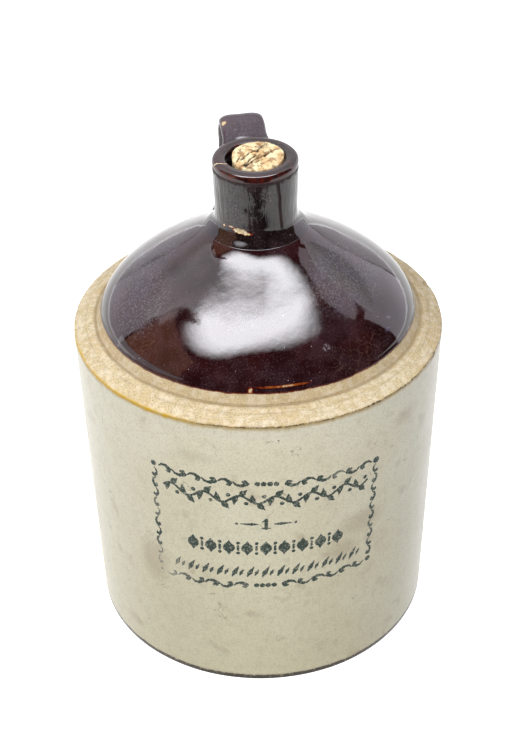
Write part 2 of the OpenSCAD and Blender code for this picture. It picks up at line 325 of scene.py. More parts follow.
def bristol_glaze(name, glaze, clay):
    """Stoneware dipped in an opaque white Bristol glaze: satin, finely grained, warmer and a little darker
    towards the foot, with small iron specks, a painted bluish reflection in a band below its upper edge, and
    an ochre line where it ends."""
    material, tree, shader = finish_of(name)
    place = add(tree, "TexCoord", out="Object")
    cover, depth = glaze_edge(tree, place, 0.25, 2.2 * MM)
    height = add(tree, "SeparateXYZ", {"Vector": place}, "Z")
    # Warmer and a little darker towards the foot
    tint_mask = add(tree, "MapRange", {"Value": height, "From Min": 150 * MM, "From Max": 10 * MM})
    tone = laid_over(tree, glaze, toned(glaze, (0.945, 0.935, 0.83)), tint_mask)

    # Clouds from the kiln, mottling and fine grain
    tone = blotched(tree, place, tone, "#cfc3a4", 0.22, 34 * MM, 0.38, 0.66)
    tone = blotched(tree, place, tone, "#aca086", 0.17, 5 * MM, 0.46, 0.74, detail=6.0, seed=0.2)
    tone = blotched(tree, place, tone, "#9c937c", 0.3, 0.9 * MM, 0.42, 0.72, seed=0.5)

    # A painted bluish reflection, in a band below the upper edge
    thick = add(tree, "MapRange", {"Value": depth, "From Min": 1.5, "From Max": 3.5})
    level = add(tree, "MapRange", {"Value": depth, "From Min": 11.0, "From Max": 4.0})
    blue_reflection = add(tree, "Math", {"Value": thick, "Value_001": level}, operation="MULTIPLY")
    high = add(tree, "MapRange", {"Value": height, "From Min": 100 * MM, "From Max": 120 * MM})
    blue_reflection = add(tree, "Math", {"Value": blue_reflection, "Value_001": high}, operation="MULTIPLY")
    tone = laid_over(tree, tone, linear("#c9ccc8"), blue_reflection, 0.2)

    # Stains, stained hair cracks and iron specks
    stain = patches(tree, place, 14 * MM, 0.58, 0.74, detail=8.0, seed=1.1)
    stained = add(tree, "Attribute", out="Fac", attribute_name="stain")
    stain = add(tree, "Math", {"Value": stain, "Value_001": stained}, operation="ADD")
    tone = laid_over(tree, tone, linear("#9b8360"), stain, 0.35)
    thread = add(tree, "TexNoise", {"Vector": place, "Scale": 1 / (24 * MM), "Detail": 4.0}, "Fac")
    thread = add(tree, "Math", {"Value": thread, "Value_001": 0.5, "Value_002": 0.004}, operation="COMPARE")
    worn = patches(tree, place, 12 * MM, 0.56, 0.64, seed=1.7)
    thread = add(tree, "Math", {"Value": thread, "Value_001": worn}, operation="MULTIPLY")
    tone = laid_over(tree, tone, linear("#8a7c60"), thread, 0.5)
    tone = speckled(tree, place, tone, "#66573e", 0.55, 2.7 * MM, 0.24 * MM, 0.45)
    tone = speckled(tree, place, tone, "#3c2c1c", 0.85, 10 * MM, 0.6 * MM, 0.4)

    # The edge on bare clay, with a brown band inside it, its ochre line, and the soot and painted shade
    # that clot there
    span = {"Value": depth, "From Min": 3.6, "From Max": 0.1}
    edge = add(tree, "MapRange", span, interpolation_type="SMOOTHSTEP")
    tone = laid_over(tree, tone, linear("#93794b"), edge, 0.75)
    tone = laid_over(tree, fired_clay_colour(tree, place, clay), tone, cover)
    ochre = add(tree, "Attribute", out="Fac", attribute_name="ochre")
    tone = laid_over(tree, tone, linear("#c09a1e"), ochre)
    soot = add(tree, "Attribute", out="Fac", attribute_name="soot")
    clotted = patches(tree, place, 1.3 * MM, 0.32, 0.56, seed=2.2)
    clotted = add(tree, "Math", {"Value": clotted, "Value_001": soot}, operation="MULTIPLY")
    tree.links.new(laid_over(tree, tone, linear("#2c2114"), clotted, 0.92), shader.inputs["Base Color"])

    # Satin glaze with an orange peel, gritty where it is bare
    rough = add(tree, "MapRange", {"Value": cover, "To Min": BARE_ROUGHNESS, "To Max": 0.28})
    tree.links.new(rough, shader.inputs["Roughness"])
    shader.inputs["IOR"].default_value = 1.42
    grit = add(tree, "TexNoise", {"Vector": place, "Scale": 1 / (0.9 * MM), "Detail": 3.0}, "Fac")
    peel = add(tree, "TexNoise", {"Vector": place, "Scale": 1 / (7 * MM), "Detail": 2.0}, "Fac")
    peel = add(tree, "Math", {"Value": peel, "Value_001": 0.7}, operation="MULTIPLY")
    relief = add(tree, "Mix", {"Factor": cover, "A": grit, "B": peel})
    bump = add(tree, "Bump", {"Height": relief, "Distance": 0.2 * MM})
    tree.links.new(bump, shader.inputs["Normal"])
    return material


def slip_glaze(name, glaze, clay):
    """Stoneware under a brown clay-slip glaze: glassy and nearly black where it is thick, red and orange
    where it thins at edges and chips, crazed in places, under a thin film of dust and scuffs, with a
    painted violet sheen on the strap and painted shade with the soot on the neck."""
    material, tree, shader = finish_of(name)
    place = add(tree, "TexCoord", out="Object")
    cover, depth = glaze_edge(tree, place, 0.2, 2 * MM)
    cloud = patches(tree, place, 22 * MM, 0.35, 0.65)
    tone = laid_over(tree, glaze, toned(glaze, (0.5, 0.35, 0.5)), cloud)

    # Film, mist and dust, with scuffs and a violet haze where the glaze is rubbed; over the whole strap
    # these scuff colours are a painted sheen
    film = patches(tree, place, 10 * MM, 0.4, 0.66, detail=9.0, seed=2.0)
    tone = laid_over(tree, tone, linear("#6c545f"), film, 0.09)
    tone = blotched(tree, place, tone, "#8a7880", 0.12, 0.8 * MM, 0.5, 0.8, seed=3.1)
    scuff = add(tree, "Attribute", out="Fac", attribute_name="scuff")
    scuffed = patches(tree, place, 1.1 * MM, 0.42, 0.78, detail=5.0, seed=0.6)
    scuffed = add(tree, "Math", {"Value": scuff, "Value_001": scuffed}, operation="MULTIPLY")
    tone = laid_over(tree, tone, linear("#8f8a94"), scuffed, 0.34)
    haze_and_painted_sheen = patches(tree, place, 12 * MM, 0.48, 0.66, detail=9.0, seed=5.0)
    haze_and_painted_sheen = add(tree, "Math", {"Value": haze_and_painted_sheen, "Value_001": scuff}, operation="MULTIPLY")
    tone = laid_over(tree, tone, linear("#4c4468"), haze_and_painted_sheen, 0.13)
    tone = speckled(tree, place, tone, "#b9afb2", 0.6, 2.6 * MM, 0.3 * MM, 0.3)

    # Crazing, along the borders of wobbly cells
    crazed = add(tree, "Attribute", out="Fac", attribute_name="crazed")
    wobble = add(tree, "TexNoise", {"Vector": place, "Scale": 1 / (4 * MM), "Detail": 3.0}, "Color")
    wobble = add(tree, "VectorMath", {"Vector": wobble, "Scale": 3 * MM}, operation="SCALE")
    wobble = add(tree, "VectorMath", {"Vector": wobble, "Vector_001": place}, operation="ADD")
    cells = {"Vector": wobble, "Scale": 1 / (4.2 * MM)}
    crack = add(tree, "TexVoronoi", cells, "Distance", feature="DISTANCE_TO_EDGE")
    crack = add(tree, "MapRange", {"Value": crack, "From Min": 0.04, "From Max": 0.01})
    crack = add(tree, "Math", {"Value": crack, "Value_001": crazed}, operation="MULTIPLY")
    tone = laid_over(tree, tone, linear("#6a5248"), crack, 0.24)

    # Red and then orange where the glaze thins towards its edge, soot and painted shade over it,
    # and bare clay beyond
    for hex_colour, share, inner, outer in (("#561608", 0.85, 1.1, 0.3), ("#97521f", 0.75, 0.5, 0.05)):
        span = {"Value": depth, "From Min": inner, "From Max": outer}
        tint_mask = add(tree, "MapRange", span, interpolation_type="SMOOTHSTEP")
        tone = laid_over(tree, tone, linear(hex_colour), tint_mask, share)
    soot = add(tree, "Attribute", out="Fac", attribute_name="soot")
    tone = laid_over(tree, tone, linear("#170505"), soot)
    bare = fired_clay_colour(tree, place, clay)
    tree.links.new(laid_over(tree, bare, tone, cover), shader.inputs["Base Color"])

    # Glass, duller under film, scuffs, the painted sheen, soot and the painted shade
    satin = add(tree, "MapRange", {"Value": film, "To Min": 0.035, "To Max": 0.1})
    duller = {"Value": scuff, "Value_001": 0.05, "Value_002": satin}
    satin = add(tree, "Math", duller, operation="MULTIPLY_ADD")
    satin = add(tree, "Mix", {"Factor": soot, "A": satin, "B": 0.8})
    rough = add(tree, "Mix", {"Factor": cover, "A": BARE_ROUGHNESS, "B": satin})
    tree.links.new(rough, shader.inputs["Roughness"])
    shader.inputs["IOR"].default_value = 1.55

    # Dimples, pits and, where it is streaked, runs drawn down the neck
    dimple = add(tree, "TexNoise", {"Vector": place, "Scale": 1 / (9 * MM), "Detail": 2.0}, "Fac")
    pit = add(tree, "TexNoise", {"Vector": place, "Scale": 1 / (1.3 * MM), "Detail": 2.0}, "Fac")
    pit = add(tree, "Math", {"Value": pit, "Value_001": 0.1, "Value_002": dimple}, operation="MULTIPLY_ADD")
    drawn = add(tree, "VectorMath", {"Vector": place, "Vector_001": (1, 1, 0.12)}, operation="MULTIPLY")
    run = add(tree, "TexNoise", {"Vector": drawn, "Scale": 1 / (1.6 * MM), "Detail": 4.0}, "Fac")
    streaked = add(tree, "Attribute", out="Fac", attribute_name="streaked")
    run = add(tree, "Math", {"Value": run, "Value_001": streaked}, operation="MULTIPLY")
    pit = add(tree, "Math", {"Value": run, "Value_001": 4.5, "Value_002": pit}, operation="MULTIPLY_ADD")
    bump = add(tree, "Bump", {"Height": pit, "Distance": 0.07 * MM})
    tree.links.new(bump, shader.inputs["Normal"])
    return material


def natural_cork(name, bark):
    """Cut natural cork: pale and dry, with yellow-white and brown patches, pores, and cracks painted
    near-black as shade.
    """
    material, tree, shader = finish_of(name)
    place = add(tree, "TexCoord", out="Object")
    cells = patches(tree, place, 1.2 * MM, 0.36, 0.64, detail=5.0)
    tone = laid_over(tree, bark, toned(bark, 0.68), cells, 0.7)
    tone = blotched(tree, place, tone, "#fbecc6", 0.85, 5 * MM, 0.47, 0.56, detail=5.0, seed=0.9)
    tone = blotched(tree, place, tone, "#8c6340", 0.75, 3.4 * MM, 0.52, 0.6, detail=5.0, seed=4.0)
    tone = speckled(tree, place, tone, "#6b4a28", 0.75, 2.0 * MM, 0.36 * MM, 0.3)
    # The cracks and holes are painted near-black: painted shade
    crack = add(tree, "Attribute", out="Fac", attribute_name="crack")
    tone = laid_over(tree, tone, linear("#1d0f07"), crack)
    tree.links.new(tone, shader.inputs["Base Color"])
    shader.inputs["Roughness"].default_value = 0.85
    grain = add(tree, "TexNoise", {"Vector": place, "Scale": 1 / (0.8 * MM), "Detail": 4.0}, "Fac")
    bump = add(tree, "Bump", {"Height": grain, "Distance": 0.3 * MM})
    tree.links.new(bump, shader.inputs["Normal"])
    return material


def printing_ink(name, ink, glaze):
    """Stamped oxide ink under a clear glaze: flat green-black that is worn through to the white in places."""
    material, tree, shader = finish_of(name)
    place = add(tree, "TexCoord", out="Object")
    worn = patches(tree, place, 1.1 * MM, 0.5, 0.72, detail=4.0)
    faint = add(tree, "Attribute", out="Fac", attribute_name="faint")
    loss = {"Value": worn, "Value_001": 0.35, "Value_002": faint}
    lost = add(tree, "Math", loss, operation="MULTIPLY_ADD", use_clamp=True)
    tree.links.new(laid_over(tree, ink, glaze, lost), shader.inputs["Base Color"])
    shader.inputs["Roughness"].default_value = 0.5
    shader.inputs["Specular IOR Level"].default_value = 0.3
    return material


def studio_paper(name, paper):
    """Seamless background paper, lit from behind until it is plain white: matte and without a mark."""
    material, _, shader = finish_of(name)
    shader.inputs["Base Color"].default_value = toned(paper, 0.3)
    shader.inputs["Roughness"].default_value = 0.9
    shader.inputs["Emission Color"].default_value = paper
    shader.inputs["Emission Strength"].default_value = 1.2
    return material


def dark_room(name):
    """Unlit room beyond the end of the table: black and matte."""
    material, _, shader = finish_of(name)
    shader.inputs["Base Color"].default_value = linear("#0c0a0a")
    shader.inputs["Roughness"].default_value = 0.9
    return material


def ceiling_cloth(name):
    """Diffuser cloth over the table: glows with the light behind it, bright in the softbox, dim around it."""
    material, tree, shader = finish_of(name)
    shader.inputs["Base Color"].default_value = linear("#000000")
    shader.inputs["Emission Color"].default_value = linear("#f9faff")
    glow = add(tree, "Attribute", out="Fac", attribute_name="glow")
    tree.links.new(glow, shader.inputs["Emission Strength"])
    material.cycles.emission_sampling = "NONE"
    return material


class CrockSizes(bpy.types.PropertyGroup):
    """Sizes and colours of the glazed crock."""

    foot_radius: length("Foot Radius", "Radius at the foot, before its edge is rounded", 87 * MM)
    shoulder_height: length("Shoulder Height", "Height of the ledge's outer edge", 168.8 * MM)
    foot_round: length("Foot Rounding", "Rounding of the bottom edge", 3.7 * MM)
    wall: length("Wall", "Thickness of the side wall", 7.5 * MM)
    floor: length("Floor", "Thickness of the floor", 9 * MM)
    inner_round: length("Inner Rounding", "Rounding between the wall and the floor inside", 8 * MM)
    glaze: colour("Glaze", "Colour of the white glaze", "#e3dfcd")
    clay: colour("Clay", "Colour of the bare fired clay", "#bdad8d")


class LedgeSizes(bpy.types.PropertyGroup):
    """Sizes of the bare ledge on the shoulder ring."""

    width: length("Width", "Width of the ledge, from its outer edge to the dome", 11.7 * MM)
    rise: length("Rise", "Rise of the ledge from its outer edge to the dome", 4.6 * MM)
    edge_round: length("Edge Rounding", "Rounding of the outer edge", 1 * MM)
    first_groove: length("First Groove", "Distance of the first groove from the outer edge", 6.3 * MM)
    second_groove: length("Second Groove", "Distance of the second groove from the outer edge", 11 * MM)
    glazed: length("Glazed Edge", "How far the glaze reaches over the outer edge", 0.5 * MM)


class DomeSizes(bpy.types.PropertyGroup):
    """Sizes and colour of the domed top."""

    band: length("Foot Band", "Height of the bare foot band", 4 * MM)
    lean: length("Lean", "How far the foot band leans in", 2.3 * MM)
    rim_angle: angle("Rim Angle", "Steepness of the dome at its rim", 79)
    top_angle: angle("Top Angle", "Steepness of the dome at the neck", 50)
    wall: length("Wall", "Thickness of the dome", 7 * MM)
    glaze_roll: length("Glaze Roll", "Height of the roll where the glaze ends on the band", 0.3 * MM)
    glaze: colour("Glaze", "Colour of the brown glaze", "#290c0d")


class NeckSizes(bpy.types.PropertyGroup):
    """Sizes of the neck and its lip."""

    waist_radius: length("Waist Radius", "Radius at the waist", 20 * MM)
    taper: length("Taper", "How much wider the neck is at its root than at the waist", 0.1 * MM)
    lip_radius: length("Lip Radius", "Radius at the lip", 20.6 * MM)
    bore_radius: length("Bore Radius", "Radius of the bore", 14 * MM)
    lip_round: length("Lip Rounding", "Rounding of the lip's outer edge", 2.2 * MM)
    mouth_round: length("Mouth Rounding", "Rounding of the lip's inner edge", 1.5 * MM)
    glaze: colour("Glaze", "Colour of the brown glaze where it pooled on the neck", "#160c0b")


class HandleSizes(bpy.types.PropertyGroup):
    """Sizes of the pulled strap handle."""

    width: length("Width", "Width of the strap", 22 * MM)
    thickness: length("Thickness", "Thickness of the strap", 8.4 * MM)
    arm_drop: length("Arm Drop", "Depth of the strap's middle below the lip, inside the neck", 15.2 * MM)
    arm_slope: angle("Arm Slope", "Upward slope where the strap leaves the neck", 43)
    knee_drop: length("Knee Drop", "Depth of the strap's middle below the lip, farthest out", 8.7 * MM)
    foot_reach: length("Foot Reach", "Distance from the axis at which the strap meets the dome", 46 * MM)
    foot_sweep: angle("Foot Sweep", "Outward sweep where the strap meets the dome", 24)
    dish: length("Dish", "Depth of the lengthwise hollow on the outer face", 1.0 * MM)
    spread: length("Spread", "Length over which each end of the strap spreads", 14 * MM)
    glaze: colour("Glaze", "Colour of the brown glaze where it is thin over the strap", "#3b2731")


class CorkSizes(bpy.types.PropertyGroup):
    """Sizes and colour of the cork."""

    taper: length("Taper", "How much smaller the radius is at the lower end", 0.8 * MM)
    edge_round: length("Edge Rounding", "Rounding of both ends", 0.8 * MM)
    crack_depth: length("Crack Depth", "Depth of the cracks in the top", 1.3 * MM)
    lean: length("Lean", "How far the top leans down on the printed side", 1.9 * MM)
    bark: colour("Cork", "Colour of the cork", "#e8c798")


class MarkSizes(bpy.types.PropertyGroup):
    """Place, line weight and colour of the printed mark."""

    width: length("Width", "Width of the printed frame on the wall", 113 * MM)
    height: length("Height", "Height of the printed frame", 65.6 * MM)
    grain: length("Grain", "Size of the cells that the ink is cut into", 0.2 * MM)
    proud: length("Ink Height", "Height of the ink over the wall", 0.03 * MM)
    ink: colour("Ink", "Colour of the ink", "#132c27")


class StudioSizes(bpy.types.PropertyGroup):
    """Camera, paper and table of the studio."""

    azimuth: angle("Azimuth", "Direction that the camera stands in, from the printed side towards +X", -10)
    pitch: angle("Pitch", "How far the camera looks down", 35.73)
    roll: angle("Roll", "Tilt of the camera about its own axis", -0.986)
    distance: length("Distance", "Distance from the camera to the point it looks at", 895.9 * MM)
    aim_height: length("Aim Height", "Height of the point that the camera looks at", 117.5 * MM)
    aim_behind: length("Aim Behind", "How far behind the jug's axis that point lies", 18.3 * MM)
    paper_width: length("Paper Width", "Width of the square sheet of paper", 9.0)
    table_end: length("Table End", "Distance in front of the jug at which the dark room begins", 0.4)
    paper: colour("Paper", "Colour of the paper", "#ffffff")


def wall_radius(height):
    """Outer radius of the crock's side at a height."""
    sizes = bpy.context.scene.jug_crock
    return sizes.foot_radius + (BODY_R - sizes.foot_radius) * height / sizes.shoulder_height


def dome_path():
    """Outer outline of the glazed dome, from the glaze edge up to the root of the neck."""
    sizes = bpy.context.scene.jug_dome
    rim, root = (SEAM_R - sizes.lean, SEAM_Z + sizes.band), (ROOT_R, ROOT_Z)
    rim_heading, root_heading = 180 - math.degrees(sizes.rim_angle), 180 - math.degrees(sizes.top_angle)
    span = math.dist(rim, root)
    return bend(rim, rim_heading, span * 0.24, root, root_heading, span * 0.18)


def chips(azimuth, path, places, seed):
    """Depth in mm inside the nearest of some ragged chips, negative outside them.
    Each place is (azimuth, radius, height, length round the jug, width along the outline), lengths in mm."""
    radius, height = path[:, :1] / MM, path[:, 1:] / MM
    far_outside = -50.0
    inside = np.full((len(path), azimuth.size), far_outside)
    for n, (at, r, z, long, wide) in enumerate(places):
        along = np.radians((azimuth - at + 180) % 360 - 180) * r
        across = np.hypot(radius - r, height - z)
        reach = np.hypot(along / (long / 2), across / (wide / 2))
        reach = reach + 0.18 * ripple(azimuth, height * MM, 1.6 * MM, r * MM, seed + n)
        inside = np.maximum(inside, (1 - reach) * min(long, wide) / 2)
    return inside


# Chips, wear and stains, and painted dark spots and a painted orange reflection, each (azimuth, radius,
# height, length round the jug, width along the outline), in degrees and mm
FOOT_WEAR = [(-20, 84.5, 0.6, 60, 2.2), (70, 84.5, 0.6, 34, 1.8)]
FOOT_WEAR += [(165, 84.5, 0.6, 50, 2.4), (-110, 84.5, 0.6, 40, 2)]
WALL_STAINS = [(23, 88, 98, 26, 16), (16, 88, 84, 20, 14), (-47, 88, 72, 18, 30), (-30, 90, 148, 22, 6)]
WALL_STAINS += [(40, 90, 150, 16, 10)]
LEDGE_CHIPS = [(97, 90.5, 169.6, 7, 5), (57.5, 92, 168.4, 4.5, 3), (-101, 91.6, 169, 2, 1.6)]
LEDGE_CHIPS += [(-108, 87.4, 171.3, 1.4, 1.2), (150, 92, 168.6, 5, 2.4), (-165, 92, 168.5, 3.2, 2.2)]
LEDGE_CHIPS += [(20, 92, 168.7, 1.6, 1.2), (-62, 92, 168.7, 2, 1.4)]
# The long thin chip at -1.5 degrees is a painted orange reflection
BAND_CHIPS_AND_PAINTED_REFLECTION = [(-13, 77.6, 179.2, 1.6, 2.2), (-1.5, 77.2, 180.6, 10.5, 0.6)]
DOME_RUBS = [(58, 46.5, 207, 60, 34), (-78, 62, 196, 44, 36), (-120, 50, 204, 60, 40)]
DOME_RUBS += [(120, 55, 201, 60, 36), (-22, 52, 203, 30, 12), (175, 60, 198, 60, 40)]
DOME_KNOCKS = [(17.5, 68.5, 191.3, 3.6, 3.2), (52.5, 70.8, 189.3, 3, 2.2), (48, 73.5, 186.5, 5, 2.4)]
DOME_CRAZING = [(31, 74.9, 185, 40, 17), (-60, 73, 187, 22, 12)]
ROOT_CHIPS = [(-46, 20.6, 230.4, 4.8, 1.2), (-33, 20.6, 229.4, 7.5, 2.3), (-23, 20.8, 228.6, 5, 1.4)]
ROOT_CHIPS += [(-59, 20, 229.8, 1.8, 1.1), (100, 20.4, 229.4, 4, 1.2), (140, 20.6, 228.6, 5, 1.4)]
# Painted dark spots on the neck, standing for a dark reflection and for shadow under the lip
NECK_PAINTED_DARK_SPOTS = [(-24, 20, 241, 1.6, 2), (-16, 20.3, 253.4, 4, 1.6), (-14, 20.3, 251.6, 2, 1.4)]
NECK_RUBS = [(-42, 20, 243, 11, 26), (6, 20, 248, 8, 8)]


class JUG_OT_crock(bpy.types.Operator):
    """Turn the glazed crock: floor, wall and the glaze on its outside"""

    bl_idname = "jug.crock"
    bl_label = "Crock"

    def execute(self, context):
        sizes = context.scene.jug_crock
        top = (wall_radius(RING_Z), RING_Z)
        inside_top = (top[0] - sizes.wall, RING_Z)
        inside_foot = (wall_radius(sizes.floor) - sizes.wall, sizes.floor)
        path = outline(
            ([(0, 0)], 6 * MM),
            (rounded((0, 0), (wall_radius(0), 0), top, sizes.foot_round), 0.6 * MM),
            ([(wall_radius(12 * MM), 12 * MM)], 1.25 * MM),
            ([top], 2.5 * MM),
            ([inside_top], 6 * MM),
            (rounded(inside_top, inside_foot, (0, sizes.floor), sizes.inner_round), 6 * MM),
            ([(0, sizes.floor)], 6 * MM),
        )
        azimuth = columns(480)
        height, radius = path[:, 1:], path[:, :1]

        # Depth in mm inside the glaze, which ends over the foot and past the shoulder; the underside is bare
        bare_foot, overlap, deep = 2.8, 1.5, 60
        within = np.minimum(height / MM - bare_foot, (sizes.shoulder_height - height) / MM + overlap)
        glaze = np.minimum(within, deep) - np.maximum(chips(azimuth, path, FOOT_WEAR, 11), 0) * 2
        floor_and_base = np.where(height > 1 * MM, 30, -5)
        glaze = np.where(radius < wall_radius(0) - sizes.wall, floor_and_base, glaze)

        # Soot and painted shade along the bare foot, and rusty smears on the wall
        soot = 14 * smooth(height / MM + 0.35 * ripple(azimuth, 0, 9 * MM, BODY_R, 12), 4.8, 3.4)
        stain = smooth(chips(azimuth, path, WALL_STAINS, 13), -3, 5)
        crock = turned("glazed_crock", path, azimuth, glaze=glaze, dirt=0.7, soot=soot, stain=stain)
        crock.data.materials.append(bristol_glaze("Bristol glazed stoneware, crock", sizes.glaze, sizes.clay))
        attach(crock, "jug")
        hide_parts("crock_body")
        return {"FINISHED"}


class JUG_OT_ledge(bpy.types.Operator):
    """Turn the shoulder ring with its bare, grooved and chipped ledge"""

    bl_idname = "jug.ledge"
    bl_label = "Shoulder Ledge"

    def execute(self, context):
        crock, sizes = context.scene.jug_crock, context.scene.jug_ledge
        edge = (BODY_R, crock.shoulder_height)
        step = np.linspace(0.1, 1, 60)
        fall = crock.shoulder_height + sizes.rise * (1 - (1 - step) ** 1.5)
        slope = np.stack([BODY_R - sizes.width * step, fall], axis=1)
        bottom = (wall_radius(RING_Z), RING_Z)
        opening = dome_path()[0][0] - context.scene.jug_dome.wall
        path = outline(
            ([bottom], 0.4 * MM),
            (rounded(bottom, edge, slope[8], sizes.edge_round), 0.25 * MM),
            (slope[8:], 0.4 * MM),
            ([(opening, SEAM_Z)], 2 * MM),
            (rounded((opening, SEAM_Z), (opening, RING_Z), bottom, 2 * MM), 2 * MM),
            ([bottom], 3 * MM),
        )[:-1]
        azimuth = columns(1300)
        radius, height = path[:, :1], path[:, 1:]
        inward = BODY_R - radius
        on_top = (height > RING_Z + 1 * MM) & (inward < sizes.width)

        # Turning grooves, the hand's unevenness, the clay's roughness and the chips, all in mm
        groove = 0.22 * bell(inward, sizes.first_groove, 0.7 * MM)
        groove = groove + 0.4 * bell(inward, sizes.second_groove, 0.9 * MM)
        groove = groove + 0.22 * bell(inward, sizes.second_groove, 2.2 * MM)
        hand = 0.5 + 0.5 * np.clip(ripple(azimuth, inward, 25 * MM, BODY_R, 21), -1, 1)
        rough = 0.07 * ripple(azimuth, inward, 2.6 * MM, BODY_R, 22, 40)
        rough = rough + 0.1 * ripple(azimuth, inward, 7 * MM, BODY_R, 23)
        chipped = chips(azimuth, path, LEDGE_CHIPS, 31)
        flake = np.clip(chipped, 0, 0.9)
        relief = np.where(on_top, (rough - 0.12) - groove * (0.6 + 0.4 * hand) - flake, 0) * MM

        # The glaze ends unevenly just over the outer edge
        lip = 0.22 * ripple(azimuth, 0, 14 * MM, BODY_R, 24) + 0.18 * ripple(azimuth, 0, 4 * MM, BODY_R, 25)
        run = run_along(path)[:, None]
        edge_at = run[np.argmax(path[:, 0])] + sizes.glazed
        glaze = np.minimum((edge_at - run) / MM + lip, np.where(chipped > 0, -chipped, 9))

        # Dirt in the grooves and chips, streaked round the ledge; painted shade at the front, on the
        # right and in the inner band next to the dome; painted light on the left
        shaded = smooth(azimuth, 35, 80) * smooth(azimuth, 175, 130)
        streak = 0.2 * ripple(azimuth, inward * 20, 22 * MM, BODY_R, 27, 60) - 0.04
        facing, left = smooth(np.abs(azimuth + 10), 55, 15), smooth(azimuth, -25, -60)
        inner = smooth(inward, sizes.second_groove - 1.5 * MM, sizes.second_groove)
        dirt = groove * 1.2 + 0.6 * (chipped > 0.2) + 0.08 * hand + 0.3 * shaded
        dirt = np.clip(dirt + 0.03 * facing - 0.1 * left + streak + 0.45 * inner, 0, 1)

        # Where the glaze ends it is sooty at the front and right, and ochre at the left
        sooty = smooth(azimuth, -40, -20) * (0.75 + 0.25 * ripple(azimuth, 0, 12 * MM, BODY_R, 26))
        soot = 1.3 * bell(glaze, 0.1, 0.5) * sooty * (height > RING_Z + 1 * MM)
        golden = smooth(azimuth, -108, -88) * smooth(azimuth, -22, -42) + 0.25 * smooth(azimuth, -40, -20)
        golden = golden * (0.75 + 0.25 * ripple(azimuth, 0, 5 * MM, BODY_R, 28))
        ochre = np.clip(1.5 * bell(glaze, 0.5, 1.1) * golden, 0, 1)
        looks = {"glaze": glaze, "dirt": dirt, "soot": soot, "ochre": ochre}
        ring = turned("shoulder_ledge", path, azimuth, relief, **looks)
        finish = bristol_glaze("Bristol glazed stoneware, bare ledge", crock.glaze, crock.clay)
        ring.data.materials.append(finish)
        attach(ring, "jug")
        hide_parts("shoulder_ring")
        return {"FINISHED"}


class JUG_OT_dome(bpy.types.Operator):
    """Turn the domed top with its bare foot band and the rolled edge of its glaze"""

    bl_idname = "jug.dome"
    bl_label = "Domed Top"

    def execute(self, context):
        sizes, clay = context.scene.jug_dome, context.scene.jug_crock.clay
        bore, deep = context.scene.jug_neck.bore_radius, 20
        dome = dome_path()
        along = np.gradient(dome, axis=0)
        along /= np.linalg.norm(along, axis=1, keepdims=True)
        inner = (dome - sizes.wall * np.stack([along[:, 1], -along[:, 0]], axis=1))[::-1]
        throat = [p for p in inner if p[0] > bore + 3 * MM and p[1] < ROOT_Z - 3 * MM]
        path = outline(
            ([(inner[-1][0], SEAM_Z)], 2 * MM),
            ([(SEAM_R, SEAM_Z)], 0.4 * MM),
            (dome[:6], 0.4 * MM),
            (dome[6:-1], 0.62 * MM),
            (dome[-1:], 0.3 * MM),
            ([(ROOT_R, ROOT_Z - 0.3 * MM)], 3 * MM),
            ([(bore, ROOT_Z - 0.3 * MM)], 3 * MM),
            (throat, 5 * MM),
            ([(inner[-1][0], SEAM_Z)], 5 * MM),
        )[:-1]
        azimuth = columns(620)

        # The glaze ends in a wavy roll over the band, and swells a little over the dome
        run = run_along(path)[:, None]
        rim = run[np.argmin(np.linalg.norm(path - dome[0], axis=1))]
        root = run[np.argmin(np.linalg.norm(path - dome[-1], axis=1))]
        sway = 0.28 * ripple(azimuth, 0, 30 * MM, SEAM_R, 41) + 0.16 * ripple(azimuth, 0, 7 * MM, SEAM_R, 42)
        glaze = (run - rim) / MM + sway
        outside = (run > rim - 1 * MM) & (run < root - 0.5 * MM)
        roll = sizes.glaze_roll * bell(glaze, 0.75, 0.7) * (glaze > -0.1)
        fade = smooth(run, rim + 2 * MM, rim + 8 * MM) * smooth(run, root - 0.5 * MM, root - 6 * MM)
        swell = 0.045 * MM * (ripple(azimuth, run, 26 * MM, 55 * MM, 43) - 1.2) * fade

        # Chips in the roll, one of them a painted orange reflection, rubbed and knocked places and crazing
        chipped = chips(azimuth, path, BAND_CHIPS_AND_PAINTED_REFLECTION, 51)
        scuff = smooth(chips(azimuth, path, DOME_RUBS, 55), -5, 5)
        scuff = scuff + 3 * smooth(chips(azimuth, path, DOME_KNOCKS, 54), -0.4, 0.5)
        crazed = smooth(chips(azimuth, path, DOME_CRAZING, 57), -2, 2)
        relief = np.where(outside, roll + swell - 0.3 * MM * smooth(chipped, 0, 0.5), 0)
        glaze = np.where(run > root, deep, np.minimum(glaze, deep))
        glaze = np.minimum(glaze, np.where(chipped > -0.6, -chipped, deep))
        dirt = 0.55 + 0.12 * ripple(azimuth, run * 4, 18 * MM, SEAM_R, 44)
        looks = {"glaze": glaze, "dirt": dirt, "scuff": scuff, "crazed": crazed}
        top = turned("glazed_dome", path, azimuth, relief, **looks)
        top.data.materials.append(slip_glaze("Brown slip glazed stoneware, dome", sizes.glaze, clay))
        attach(top, "jug")
        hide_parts("domed_top")
        return {"FINISHED"}


